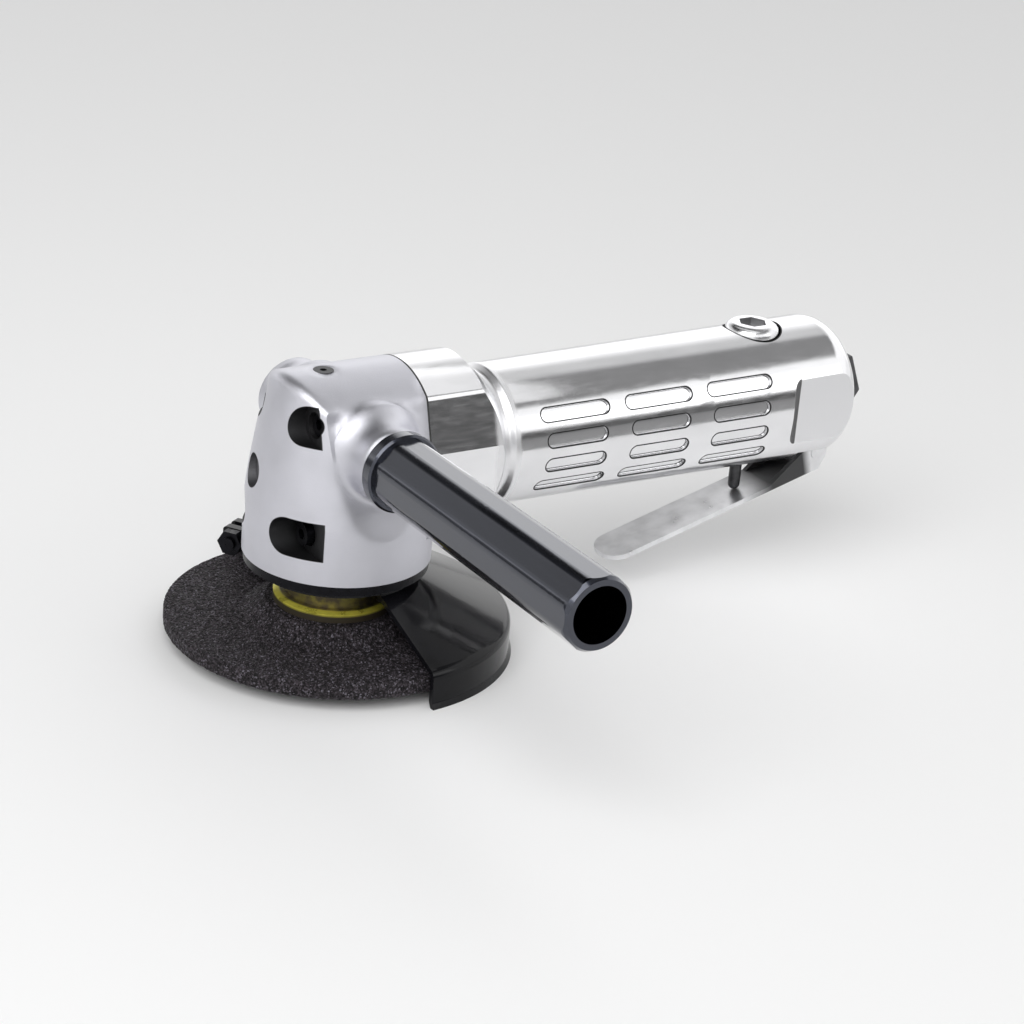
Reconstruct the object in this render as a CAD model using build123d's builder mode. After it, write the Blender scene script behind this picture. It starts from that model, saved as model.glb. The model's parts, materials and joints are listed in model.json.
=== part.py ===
"""Air angle grinder: right angle head, vane motor housing, throttle lever, guard, wheel and side grip.

Millimetres. The origin is on the spindle axis at the wheel seat, where the wheel bears on its inner
flange. +X runs along the body to the air inlet, +Z runs up the spindle and -Y is the side of the grip.
"""
import os
from math import acos, atan, cos, pi, radians, sin, sqrt, tan

from build123d import *

# Clearances
fit = 0.02                  # push fit between fixed pieces, on the radius
running_fit = 0.04          # shaft turning in a bore, on the radius
side_gap = 0.3              # between flat faces that pass each other
bearing_gap = 0.1           # turning shoulder to a fixed bearing ring
screw_gap = 0.2             # screw shank in its clearance hole, on the radius
shaft_gap = 0.6             # shaft through a wall that doesn't guide it, on the radius
thread_end = 1.0            # thread past a nut, or hole past a screw's end
edge_break = 0.6            # small chamfer on turned edges
sealing_gap = 0.1           # rotor end to end plate

# Wheel and what clamps it
wheel_diameter = 100.0
wheel_thickness = 5.0
wheel_bore = 16.0
wheel_hub_rise = 4.0        # height of the depressed centre above the rim
wheel_hub_flat = 41.0       # diameter of the raised hub's flat top
wheel_hub_slope = 6.0       # radial run of the step down to the rim
wheel_dish_shift = 2.0      # the step under the wheel lies this much further in
flange_diameter = 36.0
flange_rim = 3.2
flange_hub_diameter = 29.0
flange_height = 8.0
pilot_length = 2.2          # boss of flange or nut inside the wheel's bore
nut_diameter = 30.0
nut_thickness = 3.6
nut_pin_diameter = 4.0
nut_pin_ring_diameter = 22.0
nut_pins = 4

# Spindle and its bearings
spindle_thread = 10.0
spindle_inset = 0.4         # thread end above the nut's lower face
spindle_seat = 12.0         # diameter that carries the inner flange
spindle_shoulder = 19.0
spindle_upper = 11.0
lower_bearing_bore = 15.0
lower_bearing_outer = 35.0
lower_bearing_width = 11.0
lower_bearing_base = 12.5   # height of its lower face
upper_bearing_bore = 7.0
upper_bearing_outer = 19.0
upper_bearing_width = 6.0

# Bevel pair
gear_module = 1.0
gear_teeth = 27
pinion_teeth = 13
gear_face = 4.8
gear_bore = 12.0
gear_hub_diameter = 17.2
pinion_bore = 5.0
pressure_angle = radians(20.0)
addendum_shift = 0.3        # long pinion teeth, short gear teeth, in modules
tooth_backlash = 0.16
tooth_depth = 2.25          # whole depth, in modules
tooth_sink = 0.3            # foot of a tooth below its root cone, in modules
gear_rim = 2.2              # metal behind the gear's teeth
gear_web_slope = 1.2        # fall of the gear's back face to its hub
gear_hub_gap = 0.9          # hub to its bore in the casting
pinion_gap = 1.5            # pinion tips to their bore
key_width = 3.0
key_height = 3.0
snap_ring_thickness = 1.2
snap_ring_lip = 0.9         # how far the ring stands above its shaft
snap_ring_groove = 0.8      # and how deep it sits
snap_ring_opening = 4.0

# Gear head casting
motor_height = 45.7         # motor axis above the wheel seat
head_diameter = 56.0
head_base = 16.0            # height of the head's lower face
head_straight = 17.0        # height of the straight lower wall
head_top = 75.0             # height of the tapering wall before the roof cuts it
head_top_diameter = 42.0
head_swell = 0.7            # bulge of the tapering wall beyond a straight line
head_top_round = 2.6        # roof to the wall in front
crown_height = 73.2         # top of the arched roof that runs along head and neck
crease_height = 67.0        # where the roof meets the leaning sides
crease_width = 33.0
crease_round = 3.0
side_lean = radians(17.0)
side_round = 12.0           # leaning sides to upright sides
seam_reach = 17.0           # spindle axis to the face that meets the motor housing
neck_width = 42.8
neck_envelope = 29.0        # radius of the turned outline that trims the neck
neck_foot_round = 8.0       # lower corners
ledge_height = 25.0         # top of the round base, under the neck
gasket_thickness = 0.6
chamber_gap = 2.0           # gear tips to the chamber wall
bearing_wall = 1.2          # casting between the pinion bore and the upper bearing
head_screw = 4.0
head_screw_head = 7.0
head_screw_height = 4.0
head_screw_socket = 3.0
head_screw_socket_depth = 2.0
head_screw_spread = 26.4    # across the body
head_screw_pitch = 33.0     # up the head
head_screw_grip = 14.0      # thread length in the motor housing
pocket_width = 11.4         # recess round a screw head, open to the side of the head
pocket_floor = -17.2        # X of the pockets' floors
counterbore = 7.8           # round each screw head, from the pocket's floor to its seat
lower_screw_seat = -15.6    # X of the seats under the screw heads
upper_screw_seat = -12.0
nose_recess = 10.0
nose_recess_depth = 3.5
nose_recess_height = 42.7
nose_recess_turn = 168.0    # degrees round the spindle from +X
grease_reach = -8.0
grease_diameter = 6.0
grease_length = 5.0

# Bearing cap and guard
cap_neck_diameter = 44.0
cap_flange_diameter = 54.8  # turned flange under the head
cap_flange_base = 13.0
cap_spigot_diameter = 40.0
cap_floor = 8.6             # height of the cap's lower face
cap_foot_diameter = 33.0    # the cap tapers from its neck to this
cap_neck_base = 11.0        # height where the taper starts
cap_spanner_hole = 4.0
cap_spanner_holes = 4
seal_height = 3.0
seal_diameter = 26.0
guard_thickness = 1.6
guard_radius = 53.0         # outside of the skirt
guard_plate_edge = -0.6     # height of the plate where it bends into the skirt
guard_plate_root = 10.5     # height of the plate at the collar
guard_skirt_foot = -13.0
guard_bend = 3.2
guard_lip = 0.9
guard_start = -86.0
guard_arc = 184.0
collar_gap = 0.15           # guard collar to the cap's neck, on the radius
collar_thickness = 2.2
collar_split = 2.4
ear_turn = 124.0            # degrees round the spindle to the collar's split
ear_thickness = 2.6
ear_reach = 11.5
ear_top = 15.7              # the ears rise beside the cap's flange
ear_round = 1.2
clamp_screw = 4.0
clamp_screw_head = 7.0
clamp_head_height = 3.2
clamp_socket = 3.0
clamp_socket_depth = 1.9
clamp_nut_flats = 7.0
clamp_nut_thickness = 3.2

# Side grip and its bolt
grip_height = 53.3
grip_boss_diameter = 23.0
grip_boss_reach = 31.2      # spindle axis to the boss face
grip_boss_root = 30.0
grip_boss_foot = 19.0       # spindle axis to the foot of the boss's flare
grip_boss_straight = 4.0    # straight length behind the boss face
grip_thread = 8.0
grip_thread_depth = 12.5
grip_collar_diameter = 23.6
grip_collar_width = 4.4
grip_flats_near = 20.2      # across flats beside the collar
grip_flats_tip = 20.8
grip_edge_round = 4.2
grip_tip_diameter = 19.8    # the last few millimetres are turned round
grip_tip_shoulder = 21.4
grip_tip_shoulder_length = 1.2
grip_tip_turned = 22.8
grip_tip_turned_length = 4.0
grip_length = 103.6
grip_bore = 16.4
grip_web = 14.0             # solid end that the bolt clamps
grip_bolt_head = 13.0
grip_bolt_head_height = 8.0
grip_bolt_socket = 6.0

# Motor housing
motor_bore = 35.2
waist_diameter = 40.0
waist_start = 43.8
barrel_front = 45.0
barrel_front_diameter = 43.0
barrel_rear_diameter = 45.2
barrel_rear = 176.0
barrel_front_slope = 1.6    # length of the shoulder behind the waist
barrel_front_round = 1.2
barrel_rear_round = 9.5
neck_straight = 16.4        # length of the neck before it tapers to the waist
slot_length = 24.0          # outer rows
slot_short = 21.0           # inner rows
slot_width = 4.2
slot_depth = 0.8
slot_margin = 2.0           # the slots' common floor runs past them at each end
slot_groups = 3
slot_pitch = 30.0
slot_first = 68.0           # middle of the first group
slot_rows = 4
slot_row_angle = 21.0
flat_across = 39.6          # wrench flats at the rear
flat_length = 24.6
flat_runout = 3.5           # radius where the cutter left the flats
underside_height = 29.4     # flat under the rear, above the lever pivot
underside_length = 19.0
exhaust_hole = 3.6
exhaust_holes = 3
exhaust_ring_diameter = 31.8
exhaust_step = 18.0         # degrees between them

# Vane motor
front_bearing_bore = 10.0
front_bearing_outer = 26.0
front_bearing_width = 8.0
rear_bearing_bore = 8.0
rear_bearing_outer = 22.0
rear_bearing_width = 7.0
front_plate_wall = 6.0
rear_plate_wall = 6.0
spigot_wall = 3.0
spigot_reach = 4.5          # front plate into the gear head
washer_thickness = 1.0
washer_bore = 19.0
rotor_diameter = 24.8
cylinder_length = 66.0
cylinder_bore = 28.4
cylinder_eccentricity = 1.6
vane_count = 4
vane_thickness = 2.5
vane_depth = 7.2
vane_gap = 0.05
cylinder_ports = 5
cylinder_port = 4.0
exhaust_flat = 15.6         # motor axis to the flat that leads exhaust to the rear
supply_ring_diameter = 29.6
supply_drill = 3.0
supply_port = 2.0

# Throttle valve
valve_reach = 145.0
valve_bore = 14.0
plug_diameter = 17.2
plug_recess = 18.2
plug_seat = 64.6            # height of the face under the plug's head
plug_crown = 4.8            # head height over that face
plug_side_height = 1.9      # straight part of that height
plug_flat = 11.4            # diameter of the flat on the crown
plug_thread_length = 7.4
plug_socket = 8.0
plug_socket_depth = 2.6
seal_section = 1.8
seal_gland = 16.8
valve_seat_height = 43.0
valve_bush_length = 5.0
valve_bush_bore = 7.2
valve_chamber_floor = 28.4
valve_port = 11.0
stem_diameter = 3.8
poppet_diameter = 11.2
poppet_thickness = 3.0
poppet_gap = 0.05
spigot_diameter = 4.4
spigot_length = 3.0
spring_wire = 0.9
spring_diameter = 7.2       # middle of the wire
spring_turns = 5
spring_pocket = 2.0
air_way = 8.0
air_way_height = 50.5
motor_way = 4.4

# Air inlet
inlet_thread = 16.0
inlet_depth = 13.5
inlet_flats = 19.0
inlet_head = 7.0
inlet_bore = 11.4
screen_thickness = 1.2
screen_hole = 2.6
screen_holes = 6            # round the middle one

# Throttle lever
pivot_reach = 171.0
pivot_height = 24.4
pivot_pin = 4.0
lever_slope = radians(15.2)
lever_length = 80.0         # pivot to tip, along the plate
lever_width = 15.0
lever_thickness = 1.6
lever_drop = 4.4            # pivot to the plate's upper face
lever_ear = 4.2             # ear radius round the pin
lever_ear_length = 19.0
lug_gap = 0.5               # lug to the lever's plate
lever_tip_round = 6.5
stem_gap = 0.1              # stem to lever at rest

# Sizes that follow from those above
seat_height = 0.0
wheel_radius = wheel_diameter / 2
wheel_hub_base = seat_height - wheel_thickness
rim_top = seat_height - wheel_hub_rise
rim_base = rim_top - wheel_thickness
nut_base = wheel_hub_base - nut_thickness
spindle_foot = nut_base + spindle_inset
pinion_pitch_radius = gear_module * pinion_teeth / 2
gear_pitch_radius = gear_module * gear_teeth / 2
pinion_cone = atan(pinion_teeth / gear_teeth)
gear_cone = pi / 2 - pinion_cone
cone_length = sqrt(pinion_pitch_radius**2 + gear_pitch_radius**2)
inner_scale = (cone_length - gear_face) / cone_length
pinion_addendum = gear_module * (1 + addendum_shift)
gear_addendum = gear_module * (1 - addendum_shift)
pinion_dedendum = tooth_depth * gear_module - pinion_addendum
gear_dedendum = tooth_depth * gear_module - gear_addendum
pinion_tip_radius = pinion_pitch_radius + pinion_addendum
pinion_bore_radius = pinion_tip_radius + pinion_gap
lower_bearing_top = lower_bearing_base + lower_bearing_width
upper_bearing_base = motor_height + pinion_bore_radius + bearing_wall
upper_bearing_top = upper_bearing_base + upper_bearing_width
chamber_radius = gear_pitch_radius + gear_module + chamber_gap
chamber_top = motor_height + pinion_pitch_radius
housing_front = seam_reach + gasket_thickness
neck_base = ledge_height + screw_gap
crease = crease_width / 2
crown_rise = crown_height - crease_height
roof_radius = (crease**2 + crown_rise**2) / (2 * crown_rise)
eave_fall = crease / (roof_radius - crown_rise)     # slope of the roof at the crease
side_fall = 1 / tan(side_lean)
front_bearing_start = gear_pitch_radius + 1.5 * gear_module
front_bearing_end = front_bearing_start + front_bearing_width
rotor_start = front_bearing_end + front_plate_wall
rotor_end = rotor_start + cylinder_length
rear_bearing_start = rotor_end + rear_plate_wall
rear_plate_end = rear_bearing_start + rear_bearing_width
motor_bore_end = rear_plate_end + washer_thickness
spigot_radius = front_bearing_outer / 2 + spigot_wall
spigot_start = seam_reach - spigot_reach
grip_root = -grip_boss_reach
grip_collar_end = grip_root - grip_collar_width
grip_tip = grip_root - grip_length
valve_bush_base = valve_seat_height - valve_bush_length
plug_thread_base = plug_seat - plug_thread_length
inlet_floor = barrel_rear - inlet_depth - screen_thickness
stem_arm = pivot_reach - valve_reach
stem_radius = stem_diameter / 2
stem_drop = (stem_arm * sin(lever_slope) + lever_drop - stem_radius - stem_gap) / cos(lever_slope)
stem_centre = pivot_height - stem_drop
lug_half_width = lever_width / 2 - lever_thickness - side_gap
lug_radius = lever_drop - lug_gap
motor_way_height = motor_height - supply_ring_diameter / 2

motor_axis = Axis((0, 0, motor_height), (1, 0, 0))
grip_axis = Axis((0, 0, grip_height), (0, 1, 0))
valve_axis = Axis((valve_reach, 0, 0), (0, 0, 1))
spindle_plane = Plane.XZ
motor_plane = Plane.XY.offset(motor_height)
grip_plane = Plane.XY.offset(grip_height)


def section(plane, *points):
    """A closed half section, drawn on a plane that holds the axis it is turned about."""
    with BuildSketch(plane) as half:
        with BuildLine():
            Polyline(*points, close=True)
        make_face()
    return half.sketch


def roofed_section(plane, half_width, lean, base):
    """Cross section along the body: an arched roof, sides that fall at a lean, then upright sides."""
    shoulder = crease_height - (half_width - crease) * lean
    with BuildSketch(plane) as outline:
        with BuildLine():
            ThreePointArc((-crease, crease_height), (0, crown_height), (crease, crease_height))
            Polyline(
                (crease, crease_height), (half_width, shoulder), (half_width, base),
                (-half_width, base), (-half_width, shoulder), (-crease, crease_height),
            )
        make_face()
    return outline.sketch


def neck_section(plane):
    """Cross section of the neck, with all its corners rounded."""
    with BuildSketch(plane) as outline:
        add(roofed_section(Plane.XY, neck_width / 2, side_fall, neck_base))
        feet, shoulders, creases = outline.vertices().group_by(Axis.Y)
        fillet(creases, crease_round)
        fillet(shoulders, side_round)
        fillet(feet, neck_foot_round)
    return outline.sketch


def bearing_section(plane, bore, outer, start, width, upright):
    """Half section of a shielded ball bearing, with both shields set back from the ring faces."""
    inner = bore / 2
    rim = outer / 2
    ring = (outer - bore) / 8
    set_back = 0.5
    places = [
        (inner, start), (inner + ring, start), (inner + ring, start + set_back),
        (rim - ring, start + set_back), (rim - ring, start), (rim, start),
        (rim, start + width), (rim - ring, start + width), (rim - ring, start + width - set_back),
        (inner + ring, start + width - set_back), (inner + ring, start + width), (inner, start + width),
    ]
    if upright:
        return section(plane, *places)
    return section(plane, *[(along, out) for out, along in places])


def cone_point(distance, height, pitch_angle):
    """Axial and radial place of a point along a pitch cone and at a height above it, from its apex."""
    axial = distance * cos(pitch_angle) - height * sin(pitch_angle)
    radial = distance * sin(pitch_angle) + height * cos(pitch_angle)
    return axial, radial


def tooth_outline(pitch_radius, pitch_angle, addendum, dedendum, thickness):
    """Involute tooth of the spur gear that has the bevel gear's back cone, centred on its pitch point."""
    virtual = pitch_radius / cos(pitch_angle)
    base = virtual * cos(pressure_angle)
    root = virtual - dedendum
    involute_start = max(base, root)
    radii = [involute_start + (virtual + addendum - involute_start) * step / 4 for step in range(5)]

    def half_angle(radius):
        local = acos(min(1.0, base / radius))
        return thickness / 2 / virtual + (tan(pressure_angle) - pressure_angle) - (tan(local) - local)

    radii.insert(0, root - tooth_sink * gear_module)
    right = []
    for radius in radii:
        turn = half_angle(max(radius, involute_start))
        right.append((radius * sin(turn), radius * cos(turn) - virtual))
    left = [(-across, up) for across, up in reversed(right)]
    return right + left


def scaled(points, factor):
    return [(across * factor, up * factor) for across, up in points]


# Grinding wheel with a depressed centre
with BuildPart() as grinding_wheel:
    revolve(
        section(
            spindle_plane,
            (wheel_bore / 2, seat_height),
            (wheel_hub_flat / 2, seat_height),
            (wheel_hub_flat / 2 + wheel_hub_slope, rim_top),
            (wheel_radius, rim_top),
            (wheel_radius, rim_base),
            (wheel_hub_flat / 2 + wheel_hub_slope - wheel_dish_shift, rim_base),
            (wheel_hub_flat / 2 - wheel_dish_shift, wheel_hub_base),
            (wheel_bore / 2, wheel_hub_base),
        ),
        axis=Axis.Z,
    )
    chamfer(grinding_wheel.edges().filter_by(GeomType.CIRCLE).sort_by(SortBy.RADIUS)[-2:], edge_break)

# Inner flange, seated on the spindle's shoulder
with BuildPart() as inner_flange:
    revolve(
        section(
            spindle_plane,
            (spindle_seat / 2 + fit, seat_height - pilot_length),
            (wheel_bore / 2 - fit, seat_height - pilot_length),
            (wheel_bore / 2 - fit, seat_height),
            (flange_diameter / 2, seat_height),
            (flange_diameter / 2, flange_rim - edge_break),
            (flange_diameter / 2 - 2 * edge_break, flange_rim),
            (flange_hub_diameter / 2, flange_rim),
            (flange_hub_diameter / 2, flange_height),
            (spindle_seat / 2 + fit, flange_height),
        ),
        axis=Axis.Z,
    )

# Flange nut under the wheel, turned by a pin spanner
with BuildPart() as flange_nut:
    revolve(
        section(
            spindle_plane,
            (spindle_thread / 2 + fit, nut_base),
            (nut_diameter / 2 - edge_break, nut_base),
            (nut_diameter / 2, nut_base + edge_break),
            (nut_diameter / 2, wheel_hub_base),
            (wheel_bore / 2 - fit, wheel_hub_base),
            (wheel_bore / 2 - fit, wheel_hub_base + pilot_length),
            (spindle_thread / 2 + fit, wheel_hub_base + pilot_length),
        ),
        axis=Axis.Z,
    )
    with BuildSketch(Plane.XY.offset(nut_base)):
        with PolarLocations(nut_pin_ring_diameter / 2, nut_pins):
            Circle(nut_pin_diameter / 2)
    extrude(amount=nut_thickness, mode=Mode.SUBTRACT)

# Bevel gear and pinion: straight teeth whose flanks all run to the crossing of the two axes
gear_front_drop, gear_front_radius = cone_point(
    cone_length * inner_scale, -gear_dedendum * inner_scale, gear_cone
)
gear_root_drop, gear_root_radius = cone_point(cone_length, -gear_dedendum, gear_cone)
gear_back_drop, gear_back_radius = cone_point(cone_length, -gear_dedendum - gear_rim, gear_cone)
gear_front = motor_height - gear_front_drop
gear_back = motor_height - gear_back_drop
chamber_floor = gear_back - chamber_gap
gear_hub_base = lower_bearing_top + bearing_gap
key_base = (gear_hub_base + chamber_floor) / 2
key_length = gear_back - key_base
gear_thickness = gear_module * (pi / 2 - 2 * addendum_shift * tan(pressure_angle)) - tooth_backlash / 2
pinion_thickness = gear_module * (pi / 2 + 2 * addendum_shift * tan(pressure_angle)) - tooth_backlash / 2
gear_outline = tooth_outline(gear_pitch_radius, gear_cone, gear_addendum, gear_dedendum, gear_thickness)
pinion_outline = tooth_outline(
    pinion_pitch_radius, pinion_cone, pinion_addendum, pinion_dedendum, pinion_thickness
)
gear_ray = Vector(sin(gear_cone), 0, -cos(gear_cone))
pinion_ray = Vector(cos(pinion_cone), 0, -sin(pinion_cone))
apex = Vector(0, 0, motor_height)


def tooth_planes(ray, across):
    """Planes square to a pitch cone's edge at the large and the small end of the teeth."""
    large = Plane(origin=apex + ray * cone_length, x_dir=across, z_dir=ray)
    small = Plane(origin=apex + ray * cone_length * inner_scale, x_dir=across, z_dir=ray)
    return large, small


gear_large, gear_small = tooth_planes(gear_ray, (0, 1, 0))
pinion_large, pinion_small = tooth_planes(pinion_ray, (0, -1, 0))

with BuildPart() as gear_tooth:
    with BuildSketch(gear_large):
        with BuildLine():
            Polyline(*gear_outline, close=True)
        make_face()
    with BuildSketch(gear_small):
        with BuildLine():
            Polyline(*scaled(gear_outline, inner_scale), close=True)
        make_face()
    loft(ruled=True)

with BuildPart() as pinion_tooth:
    with BuildSketch(pinion_large):
        with BuildLine():
            Polyline(*pinion_outline, close=True)
        make_face()
    with BuildSketch(pinion_small):
        with BuildLine():
            Polyline(*scaled(pinion_outline, inner_scale), close=True)
        make_face()
    loft(ruled=True)

with BuildPart() as bevel_gear:
    revolve(
        section(
            spindle_plane,
            (gear_bore / 2 + fit, gear_hub_base),
            (gear_hub_diameter / 2, gear_hub_base),
            (gear_hub_diameter / 2, gear_back - gear_web_slope),
            (gear_back_radius, gear_back),
            (gear_root_radius, motor_height - gear_root_drop),
            (gear_front_radius, gear_front),
            (gear_bore / 2 + fit, gear_front),
        ),
        axis=Axis.Z,
    )
    gear_step = 360 / gear_teeth
    add([gear_tooth.part.rotate(Axis.Z, gear_step * (index + 0.5)) for index in range(gear_teeth)])
    with Locations((0, -gear_bore / 2, key_base)):
        Box(
            key_width + 2 * fit,
            key_height + 2 * fit,
            2 * (gear_front - key_base),
            align=(Align.CENTER, Align.CENTER, Align.MIN),
            mode=Mode.SUBTRACT,
        )

pinion_front, pinion_front_radius = cone_point(
    cone_length * inner_scale, -pinion_dedendum * inner_scale, pinion_cone
)
pinion_root, pinion_root_radius = cone_point(cone_length, -pinion_dedendum, pinion_cone)
pinion_back = front_bearing_start - bearing_gap
with BuildPart() as bevel_pinion:
    revolve(
        section(
            motor_plane,
            (pinion_front, pinion_bore / 2 + fit),
            (pinion_front, pinion_front_radius),
            (pinion_root, pinion_root_radius),
            (pinion_back, pinion_root_radius),
            (pinion_back, pinion_bore / 2 + fit),
        ),
        axis=motor_axis,
    )
    pinion_step = 360 / pinion_teeth
    add([pinion_tooth.part.rotate(motor_axis, pinion_step * index) for index in range(pinion_teeth)])

# Key between spindle and gear
with BuildPart() as gear_key:
    with Locations((0, -gear_bore / 2, key_base)):
        Box(key_width, key_height, key_length, align=(Align.CENTER, Align.CENTER, Align.MIN))

# Spindle, with the groove for its ring and the seat of the key
snap_ring_top = gear_front + snap_ring_thickness
with BuildPart() as spindle:
    revolve(
        section(
            spindle_plane,
            (0, spindle_foot),
            (spindle_thread / 2 - edge_break, spindle_foot),
            (spindle_thread / 2, spindle_foot + edge_break),
            (spindle_thread / 2, seat_height - pilot_length),
            (spindle_seat / 2, seat_height - pilot_length),
            (spindle_seat / 2, flange_height),
            (spindle_shoulder / 2, flange_height),
            (spindle_shoulder / 2, lower_bearing_base - bearing_gap),
            (lower_bearing_bore / 2 - running_fit, lower_bearing_base - bearing_gap),
            (lower_bearing_bore / 2 - running_fit, gear_hub_base),
            (gear_bore / 2, gear_hub_base),
            (gear_bore / 2, gear_front),
            (gear_bore / 2 - snap_ring_groove, gear_front),
            (gear_bore / 2 - snap_ring_groove, snap_ring_top),
            (gear_bore / 2, snap_ring_top),
            (gear_bore / 2, snap_ring_top + snap_ring_thickness),
            (spindle_upper / 2, snap_ring_top + snap_ring_thickness),
            (spindle_upper / 2, upper_bearing_base - bearing_gap),
            (upper_bearing_bore / 2 - running_fit, upper_bearing_base - bearing_gap),
            (upper_bearing_bore / 2 - running_fit, upper_bearing_top),
            (0, upper_bearing_top),
        ),
        axis=Axis.Z,
    )
    with Locations((0, -gear_bore / 2, key_base)):
        Box(
            key_width + 2 * fit,
            key_height + 2 * fit,
            key_length,
            align=(Align.CENTER, Align.CENTER, Align.MIN),
            mode=Mode.SUBTRACT,
        )

# Open ring that holds the gear down
with BuildPart() as snap_ring:
    with BuildSketch(Plane.XY.offset(gear_front)):
        Circle(gear_bore / 2 + snap_ring_lip)
        Circle(gear_bore / 2 - snap_ring_groove + fit, mode=Mode.SUBTRACT)
        with Locations((gear_bore / 2, 0)):
            Rectangle(gear_bore, snap_ring_opening, mode=Mode.SUBTRACT)
    extrude(amount=snap_ring_thickness)

# Spindle bearings
with BuildPart() as lower_bearing:
    revolve(
        bearing_section(
            spindle_plane, lower_bearing_bore, lower_bearing_outer,
            lower_bearing_base, lower_bearing_width, True,
        ),
        axis=Axis.Z,
    )

with BuildPart() as upper_bearing:
    revolve(
        bearing_section(
            spindle_plane, upper_bearing_bore, upper_bearing_outer,
            upper_bearing_base, upper_bearing_width, True,
        ),
        axis=Axis.Z,
    )

# Bearing cap, with a flange under the head and a neck that carries the guard's collar
cap_neck_radius = cap_neck_diameter / 2
cap_hole_radius = spindle_shoulder / 2 + shaft_gap
seal_radius = seal_diameter / 2
seal_base = lower_bearing_base - seal_height
with BuildPart() as bearing_cap:
    revolve(
        section(
            spindle_plane,
            (cap_hole_radius, cap_floor),
            (cap_foot_diameter / 2, cap_floor),
            (cap_neck_radius, cap_neck_base),
            (cap_neck_radius, cap_flange_base),
            (cap_flange_diameter / 2, cap_flange_base),
            (cap_flange_diameter / 2, head_base),
            (cap_spigot_diameter / 2, head_base),
            (cap_spigot_diameter / 2, lower_bearing_top),
            (lower_bearing_outer / 2 + fit, lower_bearing_top),
            (lower_bearing_outer / 2 + fit, lower_bearing_base),
            (seal_radius + fit, lower_bearing_base),
            (seal_radius + fit, seal_base),
            (cap_hole_radius, seal_base),
        ),
        axis=Axis.Z,
    )
    with BuildSketch(Plane.XY.offset(cap_floor)):
        with PolarLocations((seal_radius + cap_neck_radius) / 2, cap_spanner_holes):
            Circle(cap_spanner_hole / 2)
    extrude(amount=seal_height, mode=Mode.SUBTRACT)

with BuildPart() as spindle_seal:
    revolve(
        section(
            spindle_plane,
            (spindle_shoulder / 2 + running_fit, seal_base),
            (seal_radius, seal_base),
            (seal_radius, lower_bearing_base),
            (spindle_shoulder / 2 + running_fit, lower_bearing_base),
        ),
        axis=Axis.Z,
    )

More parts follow.
